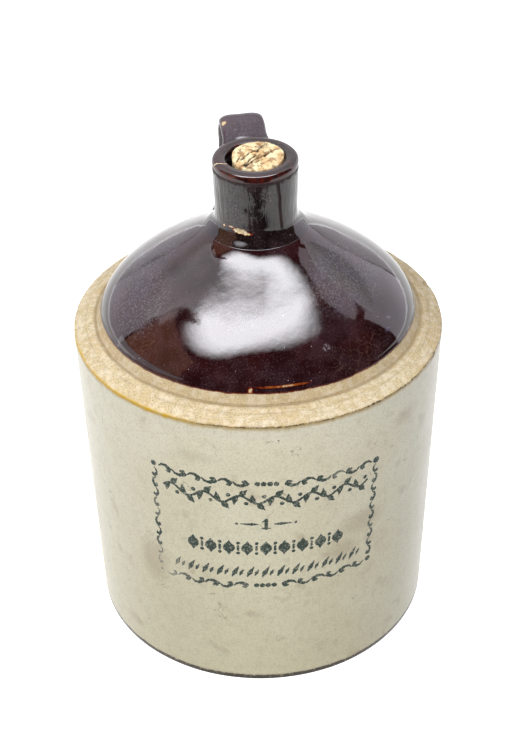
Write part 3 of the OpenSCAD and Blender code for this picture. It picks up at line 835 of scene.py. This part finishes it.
class JUG_OT_neck(bpy.types.Operator):
    """Turn the neck with its rounded lip, the crack in the lip and the chips round its root"""

    bl_idname = "jug.neck"
    bl_label = "Neck"

    def execute(self, context):
        sizes, clay = context.scene.jug_neck, context.scene.jug_crock.clay
        crown_z = LIP_Z - 0.4 * MM
        crown = ((sizes.lip_radius + sizes.bore_radius) / 2, LIP_Z)
        waist, lip, bore = sizes.waist_radius, sizes.lip_radius, sizes.bore_radius
        root_heading = 180 - math.degrees(context.scene.jug_dome.top_angle)
        flared, upright, under_lip = (waist + sizes.taper, ROOT_Z + 8 * MM), 91.5, (lip, LIP_Z - 4.4 * MM)
        path = outline(
            (bend((ROOT_R, ROOT_Z), root_heading, 4 * MM, flared, upright, 4 * MM), 0.3 * MM),
            (bend(flared, upright, 9 * MM, under_lip, 90, 5 * MM), 0.32 * MM),
            (rounded((lip, ROOT_Z), (lip, crown_z), crown, sizes.lip_round), 0.3 * MM),
            ([crown], 0.3 * MM),
            (rounded(crown, (bore, crown_z), (bore, ROOT_Z), sizes.mouth_round), 0.3 * MM),
            ([(bore, LIP_Z - 9 * MM)], 0.5 * MM),
            ([(bore, ROOT_Z)], 4 * MM),
            ([(ROOT_R, ROOT_Z)], 3 * MM),
        )[:-1]
        azimuth, girth, deep = columns(560), 20 * MM, 20
        run = run_along(path)[:, None]
        radius, height = path[:, :1], path[:, 1:]
        shown = smooth(height, ROOT_Z + 0.2 * MM, ROOT_Z + 3 * MM)
        swell = 0.07 * MM * (ripple(azimuth, run, 14 * MM, girth, 61) - 1.2)
        chipped = chips(azimuth, path, ROOT_CHIPS, 71)

        # A crack crosses the lip aslant at the left, and a dark drip runs down at the right
        crack = np.abs((azimuth + 75.5 + 2 * np.clip(radius / MM - 17, -3, 3) + 180) % 360 - 180) * 0.3
        crack = crack - 0.4 - 0.1 * ripple(0, radius, 2 * MM, girth, 64)
        crack = np.where(height > LIP_Z - 4 * MM, crack, 9)
        drip_at = np.interp(height, [ROOT_Z + 8 * MM, LIP_Z - 6 * MM], [27, 21])
        drip_and_painted_shade = (azimuth - drip_at) * 0.35 + 0.15 * ripple(0, height, 6 * MM, girth, 63)
        drip_and_painted_shade = bell(drip_and_painted_shade, 0, 0.85) * smooth(height, ROOT_Z + 5 * MM, ROOT_Z + 8 * MM)
        drip_and_painted_shade = drip_and_painted_shade * (height < LIP_Z - 5 * MM)
        # Painted dark spots: a painted dark reflection low on the neck and painted shadow just under the lip
        drip_and_painted_shade = np.maximum(drip_and_painted_shade, smooth(chips(azimuth, path, NECK_PAINTED_DARK_SPOTS, 75), -0.2, 0.3)) * 1.5
        # A painted band of shadow under the lip
        below_lip = smooth(height / MM + 0.8 * ripple(azimuth, height, 4 * MM, girth, 66), 253, 254.8)
        drip_and_painted_shade = np.maximum(drip_and_painted_shade, 0.9 * below_lip * (height < LIP_Z - 3.7 * MM))
        cut = 0.35 * smooth(chipped, 0, 0.4) + 0.25 * smooth(-crack, -0.15, 0.1) + 0.05 * drip_and_painted_shade
        relief = swell * smooth(height, ROOT_Z, ROOT_Z + 14 * MM) - cut * MM * shown

        # The glaze thins over the lip's corners, in the crack and round the chips
        corner = run[np.argmin(np.abs(path[:, 0] - lip) + np.abs(path[:, 1] - LIP_Z + sizes.lip_round))]
        from_corner = np.abs(run - corner) / MM
        ragged = ripple(azimuth, run, 3.5 * MM, girth, 62)
        inner_lip = (height > LIP_Z - 2.6 * MM) & (radius < lip)
        glaze = np.where(chipped > -0.4, -chipped * 2.5, deep)
        beyond = np.maximum(from_corner - 1.6 - 0.6 * ragged, 0)
        glaze = np.minimum(glaze, 0.78 + 0.14 * ragged + beyond * 0.8)
        glaze = np.minimum(glaze, np.where(crack < 0.4, crack * 5, deep))
        glaze = np.minimum(glaze, np.where(inner_lip, 0.9 + 0.12 * ragged, deep))
        streaked = smooth(height, ROOT_Z + 5 * MM, ROOT_Z + 9 * MM) * (height < LIP_Z - 4 * MM)
        scuff = 0.8 * smooth(chips(azimuth, path, NECK_RUBS, 77), -2, 2)
        looks = {"glaze": glaze, "scuff": scuff, "streaked": streaked, "soot": drip_and_painted_shade}
        neck = turned("glazed_neck", path, azimuth, relief, **looks)
        neck.data.materials.append(slip_glaze("Brown slip glazed stoneware, neck", sizes.glaze, clay))
        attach(neck, "jug")
        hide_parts("neck_collar")
        return {"FINISHED"}


# Middle of the chip on the strap's edge, in mm
HANDLE_CHIP = (-8.9, 33.7, 259.6)


class JUG_OT_handle(bpy.types.Operator):
    """Pull the strap handle from the neck over to the dome, spread where its ends are pressed on"""

    bl_idname = "jug.handle"
    bl_label = "Strap Handle"

    def execute(self, context):
        sizes, bore = context.scene.jug_handle, context.scene.jug_neck.bore_radius
        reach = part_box("strap_handle")[1].y
        dome = dome_path()[::-1]
        knee = (reach - sizes.thickness / 2, LIP_Z - sizes.knee_drop)
        surface = float(np.interp(sizes.foot_reach, dome[:, 0], dome[:, 1]))
        start, end = (bore, LIP_Z - sizes.arm_drop), (sizes.foot_reach, surface - sizes.thickness)
        arm, leg = math.dist(start, knee), math.dist(knee, end)
        slope, sweep = math.degrees(sizes.arm_slope), math.degrees(sizes.foot_sweep)
        line = outline(
            (bend(start, slope, arm * 0.71, knee, -90, arm * 0.51), 0.5 * MM),
            (bend(knee, -90, leg * 0.35, end, sweep - 90, leg * 0.35), 0.5 * MM),
        )
        run = run_along(line)
        kept = run < run[-1] - sizes.thickness * 0.45
        line, run = line[kept], run[kept]

        # The ends spread and thin where they are pressed on, with a fillet of slip round them
        from_neck = run - (context.scene.jug_neck.waist_radius - bore)
        from_dome = run[-1] - sizes.thickness * 0.55 - run
        at_neck, at_foot = (1 - smooth(away, 0, sizes.spread) for away in (from_neck, from_dome))
        fillet = sum(np.exp(-np.maximum(away, 0) / (1.3 * MM)) for away in (from_neck, from_dome))
        wide = sizes.width + 4 * MM * at_neck + 7 * MM * at_foot + 1.6 * MM * fillet
        thick = sizes.thickness * (1 - 0.25 * at_foot) + 2.0 * MM * fillet

        # The section: a squared oval, dished along its outer face
        along = np.gradient(line, axis=0)
        along /= np.linalg.norm(along, axis=1, keepdims=True)
        sides = 96
        turn = 2 * math.pi * (np.arange(sides) + 0.5) / sides
        squareness = 2.15
        across = np.sign(np.cos(turn)) * np.abs(np.cos(turn)) ** (2 / squareness)
        out = np.sign(np.sin(turn)) * np.abs(np.sin(turn)) ** (2 / squareness)
        dish = np.where(np.sin(turn) > 0, np.cos(np.pi / 2 * across) ** 2, 0) * sizes.dish
        where = (np.degrees(turn)[None, :], run[:, None])
        lumps = 0.12 * MM * (ripple(*where, 9 * MM, 9 * MM, 81) - 1.2)
        x = across * (wide[:, None] / 2 + lumps)
        lift = out * (thick[:, None] / 2 + lumps) - dish
        points = np.stack([x, line[:, :1] - lift * along[:, 1:], line[:, 1:] + lift * along[:, :1]], axis=-1)
        rings = len(line)
        faces = quads(np.arange(rings - 1)[:, None], np.arange(sides), rings, sides).tolist()
        faces += [list(range(sides))[::-1], [(rings - 1) * sides + k for k in range(sides)]]

        chip = np.linalg.norm(points / MM - np.array(HANDLE_CHIP), axis=-1)
        glaze = np.minimum(2.5 * chip - 3.7 + 0.6 * ripple(*where, 2 * MM, 9 * MM, 82), 12)
        # A scuff value of 0.5 over the whole strap is a painted violet sheen
        strap = piece("strap", points.reshape(-1, 3), faces, glaze=glaze, dirt=0.1, scuff=0.5)
        finish = slip_glaze("Brown slip glazed stoneware, handle", sizes.glaze, context.scene.jug_crock.clay)
        strap.data.materials.append(finish)
        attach(strap, "jug")
        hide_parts("strap_handle")
        return {"FINISHED"}


# Cracks and holes in the cork's top, in mm from its axis, to the right and away from the camera: each crack
# has its width and its points, each hole its place and radius
CORK_CRACKS = [
    (0.62, [(-7.9, -3.8), (-4.1, 0.9), (-0.8, 2.6), (1.6, 6.4), (4.4, 10.3)]),
    (0.7, [(-7.4, -9.4), (-4.1, -4.3), (-1.5, -1.3), (0.8, -0.9)]),
    (0.55, [(-6.0, -9.0), (-2.2, -4.7), (1.6, -2.1), (4.4, 0.0), (8.6, 3.8)]),
    (0.6, [(2.7, -2.6), (6.3, 2.1), (10.5, 5.6)]),
    (0.42, [(2.0, 4.7), (5.3, 9.0)]),
    (0.42, [(-10.0, -4.7), (-8.4, -1.3)]),
    (0.36, [(-0.6, -6.0), (2.2, -4.6)]),
]
CORK_HOLES = [(-0.3, 2.1, 0.9), (-9.3, -8.0, 0.6), (-7.2, -9.6, 0.6), (-3.9, -10.9, 0.8), (11.4, -2.1, 0.6)]


def nearest(x, y, a, b):
    """Share of the way from a to b at which that stretch is nearest to points, and their distance from it."""
    (ax, ay), (bx, by) = a, b
    span = max((bx - ax) ** 2 + (by - ay) ** 2, 1e-9)
    t = np.clip(((x - ax) * (bx - ax) + (y - ay) * (by - ay)) / span, 0, 1)
    return t, np.hypot(x - ax - t * (bx - ax), y - ay - t * (by - ay))


class JUG_OT_cork(bpy.types.Operator):
    """Cut the tapered cork, with its cracked and crumbled top"""

    bl_idname = "jug.cork"
    bl_label = "Cork"

    def execute(self, context):
        sizes = context.scene.jug_cork
        middle = (CORK_LOW + CORK_HIGH) / 2
        top_r = (CORK_HIGH.x - CORK_LOW.x) / 2
        low, high = (top_r - sizes.taper, CORK_LOW.z), (top_r, CORK_HIGH.z)
        path = outline(
            ([(0, CORK_LOW.z)], 2 * MM),
            (rounded((0, CORK_LOW.z), low, high, sizes.edge_round), 0.4 * MM),
            (rounded(low, high, (0, CORK_HIGH.z), sizes.edge_round), 0.25 * MM),
            ([(0, CORK_HIGH.z)], 0.22 * MM),
        )
        azimuth = columns(320)
        radius, height = path[:, :1], path[:, 1:]
        place = around(azimuth, radius, height) / MM
        lead = context.scene.jug_studio.azimuth
        u = place[..., 0] * math.cos(lead) + place[..., 1] * math.sin(lead)
        v = -place[..., 0] * math.sin(lead) + place[..., 1] * math.cos(lead)

        # Depth in mm outside the nearest crack or hole
        wander = 0.35 * ripple(azimuth, radius, 2.4 * MM, 8 * MM, 91)
        split = np.full(u.shape, 9.0)
        for wide, points in CORK_CRACKS:
            for a, b in zip(points[:-1], points[1:]):
                split = np.minimum(split, nearest(u, v, a, b)[1] - wide * (0.8 + wander))
        for at_u, at_v, wide in CORK_HOLES:
            split = np.minimum(split, np.hypot(u - at_u, v - at_v) - wide * (1 + wander))
        crack = smooth(-split, -0.14, 0.08)

        # The top is crumbled and lower at its edge, and the side is a little uneven
        on_top = smooth(height, CORK_HIGH.z - 1.2 * MM, CORK_HIGH.z - 0.3 * MM)
        crumble = 0.55 * ripple(azimuth, radius, 3.6 * MM, 9 * MM, 92)
        crumble = crumble + 0.35 * ripple(azimuth, radius, 1.5 * MM, 9 * MM, 93, 40)
        edge = smooth(radius, top_r - 3.2 * MM, top_r)
        relief = -(0.5 + 0.35 * crumble + 0.5 * edge * (1 + crumble)) * MM
        relief = relief - crack * sizes.crack_depth
        centred = smooth(radius, 0, 1 * MM)
        relief = relief * on_top * centred - 0.9 * MM * on_top * (1 - centred)
        relief = relief - 0.06 * MM * (1 + ripple(azimuth, height, 3 * MM, 12 * MM, 94)) * (1 - on_top)
        crack = crack * on_top * (0.75 + 0.25 * centred)
        stopper = turned("cork", path, azimuth, relief, None, (middle.x, middle.y), crack=crack)
        points = np.empty(3 * len(stopper.data.vertices), np.float32)
        stopper.data.vertices.foreach_get("co", points)
        points = points.reshape(-1, 3)
        toward = (middle.y - points[:, 1] + 0.5 * (middle.x - points[:, 0])) / top_r
        upper = smooth(points[:, 2], CORK_HIGH.z - 6 * MM, CORK_HIGH.z - 1 * MM)
        points[:, 2] -= sizes.lean * smooth(toward, -0.2, 1.1) * upper
        stopper.data.vertices.foreach_set("co", points.ravel())
        stopper.data.materials.append(natural_cork("Natural cork", sizes.bark))
        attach(stopper, "cork")
        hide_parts("cork_stopper")
        return {"FINISHED"}


# Corners of the printed frame on the wall, as (azimuth in degrees, height): the low ones, then the high ones
MARK_CORNERS = np.array([[(-44.3, 67.5 * MM), (26.1, 70.4 * MM)], [(-43.9, 136.2 * MM), (27.5, 133.1 * MM)]])

# One period of the scroll border: two strokes of (along, across, half the stroke's width), in mm
SCROLL_HOOKS = (
    [(-1.4, 0, 0.3), (0.4, 1.5, 0.6), (2.6, 1.5, 0.85), (4.4, 0, 1.15), (4.2, -1.3, 0.9), (3.2, -1.3, 0.6)],
    [(6, 0.4, 0.35), (7.4, -1.2, 0.65), (10, -1.6, 0.9), (12.3, -0.3, 1.2), (11.8, 1.1, 0.9), (10.6, 1, 0.7)],
)
SCROLL_PERIOD = 15.2


def stamp(field, cell, corner, stroke):
    """Joins a stroke of (x, y, half width) points in mm to a field of depths in mm inside the ink."""
    points = np.array(stroke, float)
    if len(points) == 1:
        points = np.repeat(points, 2, axis=0)
    for (ax, ay, aw), (bx, by, bw) in zip(points[:-1], points[1:]):
        reach = max(aw, bw) + 1.2
        i0, i1 = (int((f(ay, by) + s * reach - corner[1]) / cell) for f, s in ((min, -1), (max, 1)))
        j0, j1 = (int((f(ax, bx) + s * reach - corner[0]) / cell) for f, s in ((min, -1), (max, 1)))
        i0, j0 = max(i0, 0), max(j0, 0)
        window = field[i0 : i1 + 1, j0 : j1 + 1]
        y = corner[1] + cell * (i0 + np.arange(window.shape[0]))[:, None]
        x = corner[0] + cell * (j0 + np.arange(window.shape[1]))[None, :]
        t, away = nearest(x, y, (ax, ay), (bx, by))
        np.maximum(window, aw + t * (bw - aw) - away, out=window)


def placed(stroke, at, turn=0.0, flip=1, size=1.0):
    """A stroke moved to a place, turned in degrees, mirrored along its length and scaled."""
    c, s = math.cos(math.radians(turn)), math.sin(math.radians(turn))
    return [
        (at[0] + (c * x * flip - s * y) * size, at[1] + (s * x * flip + c * y) * size, w * size)
        for x, y, w in stroke
    ]


def border_strokes(width, height):
    """Scroll border of the printed frame: hooks that run in from the corners to beads in the middle."""
    inset, bead_step, side_step = 4.2, 3.0, 12.1
    corners = ((-0.2, height + 0.3, 1.5), (width, height + 0.2, 1.9), (0.2, 0, 1.1), (width + 0.2, 0, 1.6))
    strokes = [[dot] for dot in corners]
    for level, side in ((height, 1), (0, -1)):
        strokes += [[(width / 2 + bead_step * (n - 1.5), level, 1.35)] for n in range(4)]
        for n in range(3):
            for hook in SCROLL_HOOKS:
                hook = [(x, y * side, w) for x, y, w in hook]
                strokes.append(placed(hook, (inset + SCROLL_PERIOD * n, level)))
                strokes.append(placed(hook, (width - inset - SCROLL_PERIOD * n, level), flip=-1))
    for across, side in ((0, 1), (width, -1)):
        for n in range(5):
            for hook in SCROLL_HOOKS:
                hook = [(x, y * side, w) for x, y, w in hook]
                strokes.append(placed(hook, (across, height - 3.4 - side_step * n), turn=-90, size=0.8))
    return strokes


def filling_strokes(width):
    """Plain printer's ornaments in the frame: a leafy vine, a numeral between rules, lozenges and sprigs."""
    start, level, swing, wave = 5, 55.5, 2.3, 17.2
    stem = np.arange(start, width - 4.5, 0.8)
    strokes = [[(x, level + swing * math.sin(2 * math.pi * (x - start) / wave), 0.62) for x in stem]]
    for n in range(12):
        x, up = start + wave * (0.25 + 0.5 * n), 1 - 2 * (n % 2)
        y = level + swing * up
        strokes.append([(x - 0.4, y, 0.4), (x + 1.4, y + 1.6 * up, 1.6), (x + 3.4, y + 3.7 * up, 0.2)])
        strokes.append([(x - 0.8, y, 0.4), (x - 2.5, y - 2.5 * up, 1.5), (x - 2.8, y - 5.6 * up, 0.2)])
        strokes.append([(x + 3.0, y - 4.6 * up, 1.1)])
    middle, rule = width / 2, 40.3
    strokes += [
        [(middle, 37.6, 0.8), (middle, 43.2, 0.8)],
        [(middle - 1.9, 41.6, 0.25), (middle, 43.3, 0.6)],
        [(middle - 1.8, 37.5, 0.42), (middle + 1.8, 37.5, 0.42)],
    ]
    for side in (-1, 1):
        strokes.append([(middle + side * x, rule, w) for x, w in ((4, 0.25), (7, 0.85), (12.5, 0.2))])
        strokes.append([(middle + side * 14.4, rule, 0.7)])
    for n in range(9):
        x = middle + 9.2 * (n - 4)
        strokes.append([(x, 20.2, 0.2), (x, 24.6, 2.95), (x, 29.0, 0.2)])
        if n < 8:
            strokes += [[(x + 4.6, y, 0.95)] for y in (21.4, 27.8)]
            strokes.append([(x + 4.6, 23.4, 0.62), (x + 4.6, 25.8, 0.62)])
    for n in range(13):
        x = middle + 7.7 * (n - 6)
        strokes.append([(x - 1.6, 5.8, 0.25), (x - 0.2, 8.6, 1.3), (x + 1.8, 12.4, 0.22)])
        strokes.append([(x + 2.5, 6.8, 0.3), (x + 3.1, 8.4, 0.9), (x + 4.2, 10.4, 0.2)])
    return strokes


class JUG_OT_mark(bpy.types.Operator):
    """Print the mark on the wall: thin islands of ink cut from a field of strokes"""

    bl_idname = "jug.mark"
    bl_label = "Printed Mark"

    def execute(self, context):
        sizes, white = context.scene.jug_mark, context.scene.jug_crock.glaze
        width, height, cell = sizes.width / MM, sizes.height / MM, sizes.grain / MM
        margin = 4.0
        corner = np.array([-margin, -margin])
        field = np.full((round((height + 2 * margin) / cell), round((width + 2 * margin) / cell)), -5.0)
        for stroke in border_strokes(width, height) + filling_strokes(width):
            stamp(field, cell, corner, stroke)
        rows, count = field.shape
        v = (corner[1] + cell * np.arange(rows))[:, None]
        u = (corner[0] + cell * np.arange(count))[None, :]
        u, v = np.broadcast_arrays(u, v)

        # The ink is ragged and faded in places
        rough = ripple(u, v, 1.1, 180 / math.pi, 101, 40)
        faded = smooth(u, 22, 2) * smooth(v, 22, 6) + 0.4 * smooth(u, 10, 0) * smooth(np.abs(v - 40), 10, 3)
        faded = faded + 0.5 * smooth(ripple(u, v, 14, 180 / math.pi, 102), 0.5, 1.4)
        depth = field - 0.13 * rough + 0.04 - 0.32 * faded

        # The cells with ink are kept, and their outer points are pulled to the ink's edge
        slope_v, slope_u = np.gradient(depth, cell)
        steep = np.maximum(np.hypot(slope_u, slope_v), 0.3)
        kept = (depth[:-1, :-1] + depth[1:, :-1] + depth[:-1, 1:] + depth[1:, 1:]) > 0
        open_side = np.ones((rows + 1, count + 1), bool)
        open_side[1:-1, 1:-1] = ~kept
        edge = open_side[:-1, :-1] | open_side[1:, :-1] | open_side[:-1, 1:] | open_side[1:, 1:]
        shift = np.where(edge, np.clip(-depth / steep, -0.6 * cell, 0.6 * cell), 0)
        u, v = u + shift * slope_u / steep, v + shift * slope_v / steep

        # The field is laid between the frame's corners on the wall
        a, b = (u / width)[..., None], (v / height)[..., None]
        low = MARK_CORNERS[0, 0] * (1 - a) + MARK_CORNERS[0, 1] * a
        high = MARK_CORNERS[1, 0] * (1 - a) + MARK_CORNERS[1, 1] * a
        azimuth, level = np.moveaxis(low * (1 - b) + high * b, -1, 0)
        radius = wall_radius(level) * (1 - uneven(azimuth, level)) + sizes.proud
        i, j = np.nonzero(kept)
        used, faces = np.unique(quads(i, j, rows, count), return_inverse=True)
        points = around(azimuth, radius, level).reshape(-1, 3)[used]
        faint = np.clip(0.02 + 0.32 * faded + 0.07 * rough, 0, 0.7).reshape(-1)[used]
        mark = piece("printed_mark", points, faces.reshape(-1, 4), faint=faint)
        mark.data.materials.append(printing_ink("Stamped oxide ink", sizes.ink, white))
        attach(mark, "jug")
        return {"FINISHED"}


# Back edge of the softbox and front edge of the dim cloth behind it, both over the table and in the studio's
# own axes: (right, away from the camera)
SOFTBOX_BACK = [(-0.8, 0.12), (-0.6, 0), (-0.45, -0.08), (-0.3, -0.14), (-0.1, -0.185), (0.05, -0.19)]
SOFTBOX_BACK += [(0.25, -0.11), (0.6, 0.1)]
CLOTH_FRONT = [(-2, 0.75), (-1.37, 0.47), (-0.86, 0.19), (-0.71, 0.07), (-0.6, -0.04), (-0.5, -0.12)]
CLOTH_FRONT += [(-0.3, -0.2), (0.1, -0.2), (0.3, -0.1), (0.48, 0), (0.59, 0.13), (0.68, 0.25), (0.9, 0.4)]
CLOTH_FRONT += [(1.6, 0.63)]

# Cards and lamps of the studio, in its own axes (right, away from the camera, up): name, shape, place, point
# it faces, width, height, radiance and colour. The cards show only in gloss, the lamps only light surfaces.
CARDS = (
    ("upper_left", "RECTANGLE", (-1.6, 0.95, 2.02), (0, 0.95, 2.02), 1.3, 1.0, 1.7, "#f0e8f2"),
    ("upper_right", "RECTANGLE", (1.6, 0.95, 2.02), (0, 0.95, 2.02), 1.3, 1.0, 1.7, "#f0e8f2"),
    ("wall_left", "RECTANGLE", (-1.6, 1.4, 0.66), (0, 1.4, 0.66), 1.9, 1.32, 1.4, "#f2eef8"),
    ("wall_right", "RECTANGLE", (1.6, 1.4, 0.66), (0, 1.4, 0.66), 1.9, 1.32, 1.8, "#f2eef8"),
    ("wall_behind", "RECTANGLE", (0, 2.4, 1.3), (0, 0, 1.3), 3.2, 2.6, 1.15, "#f6f3fa"),
    ("card_left", "RECTANGLE", (-1.2, -0.3, 0.945), (0, -0.3, 0.945), 1.16, 1.15, 0.72, "#ffb584"),
    ("card_low", "RECTANGLE", (-1.2, -0.3, 0.18), (0, -0.3, 0.18), 1.4, 0.36, 1.2, "#f2f0f6"),
)
LAMPS = (
    ("soft_top", "ELLIPSE", (0, -0.2, 1.25), (0, 0, 0.1), 0.9, 0.9, 3.55, "#fffefc"),
    ("soft_front", "RECTANGLE", (-0.1, -0.95, 0.75), (0, 0, 0.1), 0.8, 0.6, 8.2, "#fffdf6"),
    ("side_left", "RECTANGLE", (-0.9, 0.3, 0.45), (0, 0, 0.1), 0.5, 0.7, 5.0, "#fffdf8"),
    ("side_right", "RECTANGLE", (0.9, 0.35, 0.45), (0, 0, 0.1), 0.5, 0.7, 2.9, "#fdfdff"),
)


def lay_paper(sizes):
    """Lays the white paper, and stands the same paper round it, where only the camera sees it."""
    half, below = sizes.paper_width / 2, 0.2 * MM
    corners = np.array([(x * half, y * half, -below) for x, y in ((-1, -1), (1, -1), (1, 1), (-1, 1))])
    paper = piece("paper", corners, [[0, 1, 2, 3]])
    paper.data.materials.append(studio_paper("White background paper", sizes.paper))
    paper.visible_diffuse = False
    walls = np.concatenate([corners, corners + np.array((0, 0, half))])
    backdrop = piece("backdrop", walls, [[i, (i + 1) % 4, 4 + (i + 1) % 4, 4 + i] for i in range(4)])
    backdrop.data.materials.append(paper.data.materials[0])
    backdrop.visible_diffuse = backdrop.visible_glossy = backdrop.visible_shadow = False


def darken_room(sizes, turn):
    """Lays the dark room in front of the table, which only gloss shows. Its edge is nearest in the middle."""
    half, near, nearest_to_jug, lift = sizes.paper_width / 2, sizes.table_end, 0.354, 4 * MM
    rim = [(half, -half), (half, -near), (0.36, -near), (0.17, -nearest_to_jug), (0.03, -nearest_to_jug)]
    rim += [(-0.28, -near), (-half, -near), (-half, -half)]
    edge = np.array([(turn @ Vector((x, y, lift, 0))).to_3d() for x, y in rim])
    dark = piece("dark_room", edge, [list(range(len(rim)))])
    dark.data.materials.append(dark_room("Dark room beyond the paper"))
    dark.visible_camera = dark.visible_diffuse = dark.visible_shadow = False


def hang_cloth(turn):
    """Hangs the softbox and the cloth behind it, as one sheet of 10 mm cells that glows more or less."""
    x, y, height = np.linspace(-1.5, 1.5, 301)[None, :], np.linspace(-0.6, 1.5, 211)[:, None], 1.1

    # The softbox: a skewed, rounded oval, brightest in its middle and cut off along its back edge
    skewed = y - 0.2 * x
    reach_x, reach_y = np.where(x < 0, 0.8, 0.65), np.where(skewed < 0, 0.53, 0.36)
    off_centre = (np.abs(x / reach_x) ** 3 + np.abs(skewed / reach_y) ** 3) ** (1 / 3)
    past_back = y - np.interp(x, *np.array(SOFTBOX_BACK).T)
    bright = 18 * smooth(off_centre, 1, 0.6) * smooth(past_back, 0.09, -0.07)

    # The dim cloth, with a wavy front edge and a dark seam in front of it
    behind = y - np.interp(x, *np.array(CLOTH_FRONT).T) + 0.009 * ripple(np.degrees(x), y, 0.07, 1, 91)
    seam = smooth(np.abs(behind + 0.035), 0.025, 0.05) + smooth(np.abs(x), 0.62, 0.54)
    dim = (1.75 - 0.12 * np.clip(x / 0.6, -1, 1)) * (1 - 0.45 * smooth(y, 0.5, 1.1))
    dim = dim * smooth(behind, 0, 0.02) * (1 + 0.5 * smooth(behind, 0.1, 0))

    glow = np.maximum(bright * np.minimum(seam, 1), dim)
    spots = np.stack(np.broadcast_arrays(x, y, height), axis=-1).reshape(-1, 3)
    i, j = np.nonzero(glow[:-1, :-1] + glow[1:, 1:] > 0)
    cloth = piece("ceiling_cloth", spots @ np.array(turn.to_3x3()).T, quads(i, j, *glow.shape), glow=glow)
    cloth.data.materials.append(ceiling_cloth("Softbox and white cloth over the table"))
    cloth.visible_camera = cloth.visible_diffuse = cloth.visible_shadow = False


def hang_lamps(lamps, turn, in_gloss):
    """Hangs cards that show only in gloss, or lamps that only light surfaces."""
    for name, shape, place, faces, width, height, radiance, tint in lamps:
        lamp = bpy.data.lights.new(name, "AREA")
        lamp.shape, lamp.size, lamp.size_y = shape, width, height
        area = width * height * (math.pi / 4 if shape == "ELLIPSE" else 1)
        lamp.energy, lamp.color = radiance * math.pi * area, linear(tint)[:3]
        obj = bpy.data.objects.new(name, lamp)
        bpy.context.scene.collection.objects.link(obj)
        aim = (Vector(faces) - Vector(place)).to_track_quat("-Z", "Y").to_matrix().to_4x4()
        obj.matrix_world = turn @ Matrix.Translation(place) @ aim
        obj.visible_diffuse, obj.visible_glossy, obj.visible_camera = not in_gloss, in_gloss, False


def point_camera(sizes, turn):
    """Points the camera down at the jug from the front left."""
    ahead = (turn @ Vector((0, math.cos(sizes.pitch), -math.sin(sizes.pitch), 0))).to_3d()
    level = (turn @ Vector((1, 0, 0, 0))).to_3d()
    right = math.cos(sizes.roll) * level + math.sin(sizes.roll) * level.cross(ahead)
    aim = (turn @ Vector((0, sizes.aim_behind, 0, 0))).to_3d() + Vector((0, 0, sizes.aim_height))
    pose = Matrix((right, right.cross(ahead), -ahead)).transposed().to_4x4()
    pose.translation = aim - sizes.distance * ahead
    lens = bpy.data.cameras.new("camera")
    lens.lens, lens.sensor_width, lens.clip_start = 80.95, 36, 0.01
    camera = bpy.data.objects.new("camera", lens)
    bpy.context.scene.collection.objects.link(camera)
    camera.matrix_world = pose
    bpy.context.scene.camera = camera


class JUG_OT_studio(bpy.types.Operator):
    """Set up the paper, the dark room, the glowing cloth, the cards and lamps, and the camera"""

    bl_idname = "jug.studio"
    bl_label = "Studio"

    def execute(self, context):
        sizes, scene = context.scene.jug_studio, context.scene
        turn = Matrix.Rotation(sizes.azimuth, 4, "Z")
        lay_paper(sizes)
        darken_room(sizes, turn)
        hang_cloth(turn)
        hang_lamps(CARDS, turn, in_gloss=True)
        hang_lamps(LAMPS, turn, in_gloss=False)
        point_camera(sizes, turn)
        world = bpy.data.worlds.new("Dim room")
        world.use_nodes = True
        world.node_tree.nodes["Background"].inputs["Color"].default_value = linear("#ffffff")
        world.node_tree.nodes["Background"].inputs["Strength"].default_value = 0.03
        scene.world = world
        scene.view_settings.view_transform = "Standard"
        return {"FINISHED"}


# Each piece's sizes and the step that builds it, in the order in which the jug is built
STEPS = {
    "jug_crock": (CrockSizes, JUG_OT_crock),
    "jug_ledge": (LedgeSizes, JUG_OT_ledge),
    "jug_dome": (DomeSizes, JUG_OT_dome),
    "jug_neck": (NeckSizes, JUG_OT_neck),
    "jug_handle": (HandleSizes, JUG_OT_handle),
    "jug_cork": (CorkSizes, JUG_OT_cork),
    "jug_mark": (MarkSizes, JUG_OT_mark),
    "jug_studio": (StudioSizes, JUG_OT_studio),
}


class JUG_PT_sidebar(bpy.types.Panel):
    """Sizes and steps of the jug, in the order in which it is built"""

    bl_idname = "JUG_PT_sidebar"
    bl_label = "Stoneware Jug"
    bl_space_type = "VIEW_3D"
    bl_region_type = "UI"
    bl_category = "Jug"

    def draw(self, context):
        for key, (sizes, step) in STEPS.items():
            box = self.layout.box()
            for name in sizes.__annotations__:
                box.prop(getattr(context.scene, key), name)
            box.operator(step.bl_idname)


def register():
    """Registers the sizes, the steps and the panel."""
    for key, (sizes, step) in STEPS.items():
        bpy.utils.register_class(sizes)
        setattr(bpy.types.Scene, key, bpy.props.PointerProperty(type=sizes))
        bpy.utils.register_class(step)
    bpy.utils.register_class(JUG_PT_sidebar)


def unregister():
    """Takes the panel, the steps and the sizes out again."""
    bpy.utils.unregister_class(JUG_PT_sidebar)
    for key, (sizes, step) in reversed(STEPS.items()):
        bpy.utils.unregister_class(step)
        delattr(bpy.types.Scene, key)
        bpy.utils.unregister_class(sizes)


def main():
    """Builds the jug step by step."""
    register()
    bpy.ops.jug.crock()
    bpy.ops.jug.ledge()
    bpy.ops.jug.dome()
    bpy.ops.jug.neck()
    bpy.ops.jug.handle()
    bpy.ops.jug.cork()
    bpy.ops.jug.mark()
    bpy.ops.jug.studio()


if __name__ == "__main__":
    main()
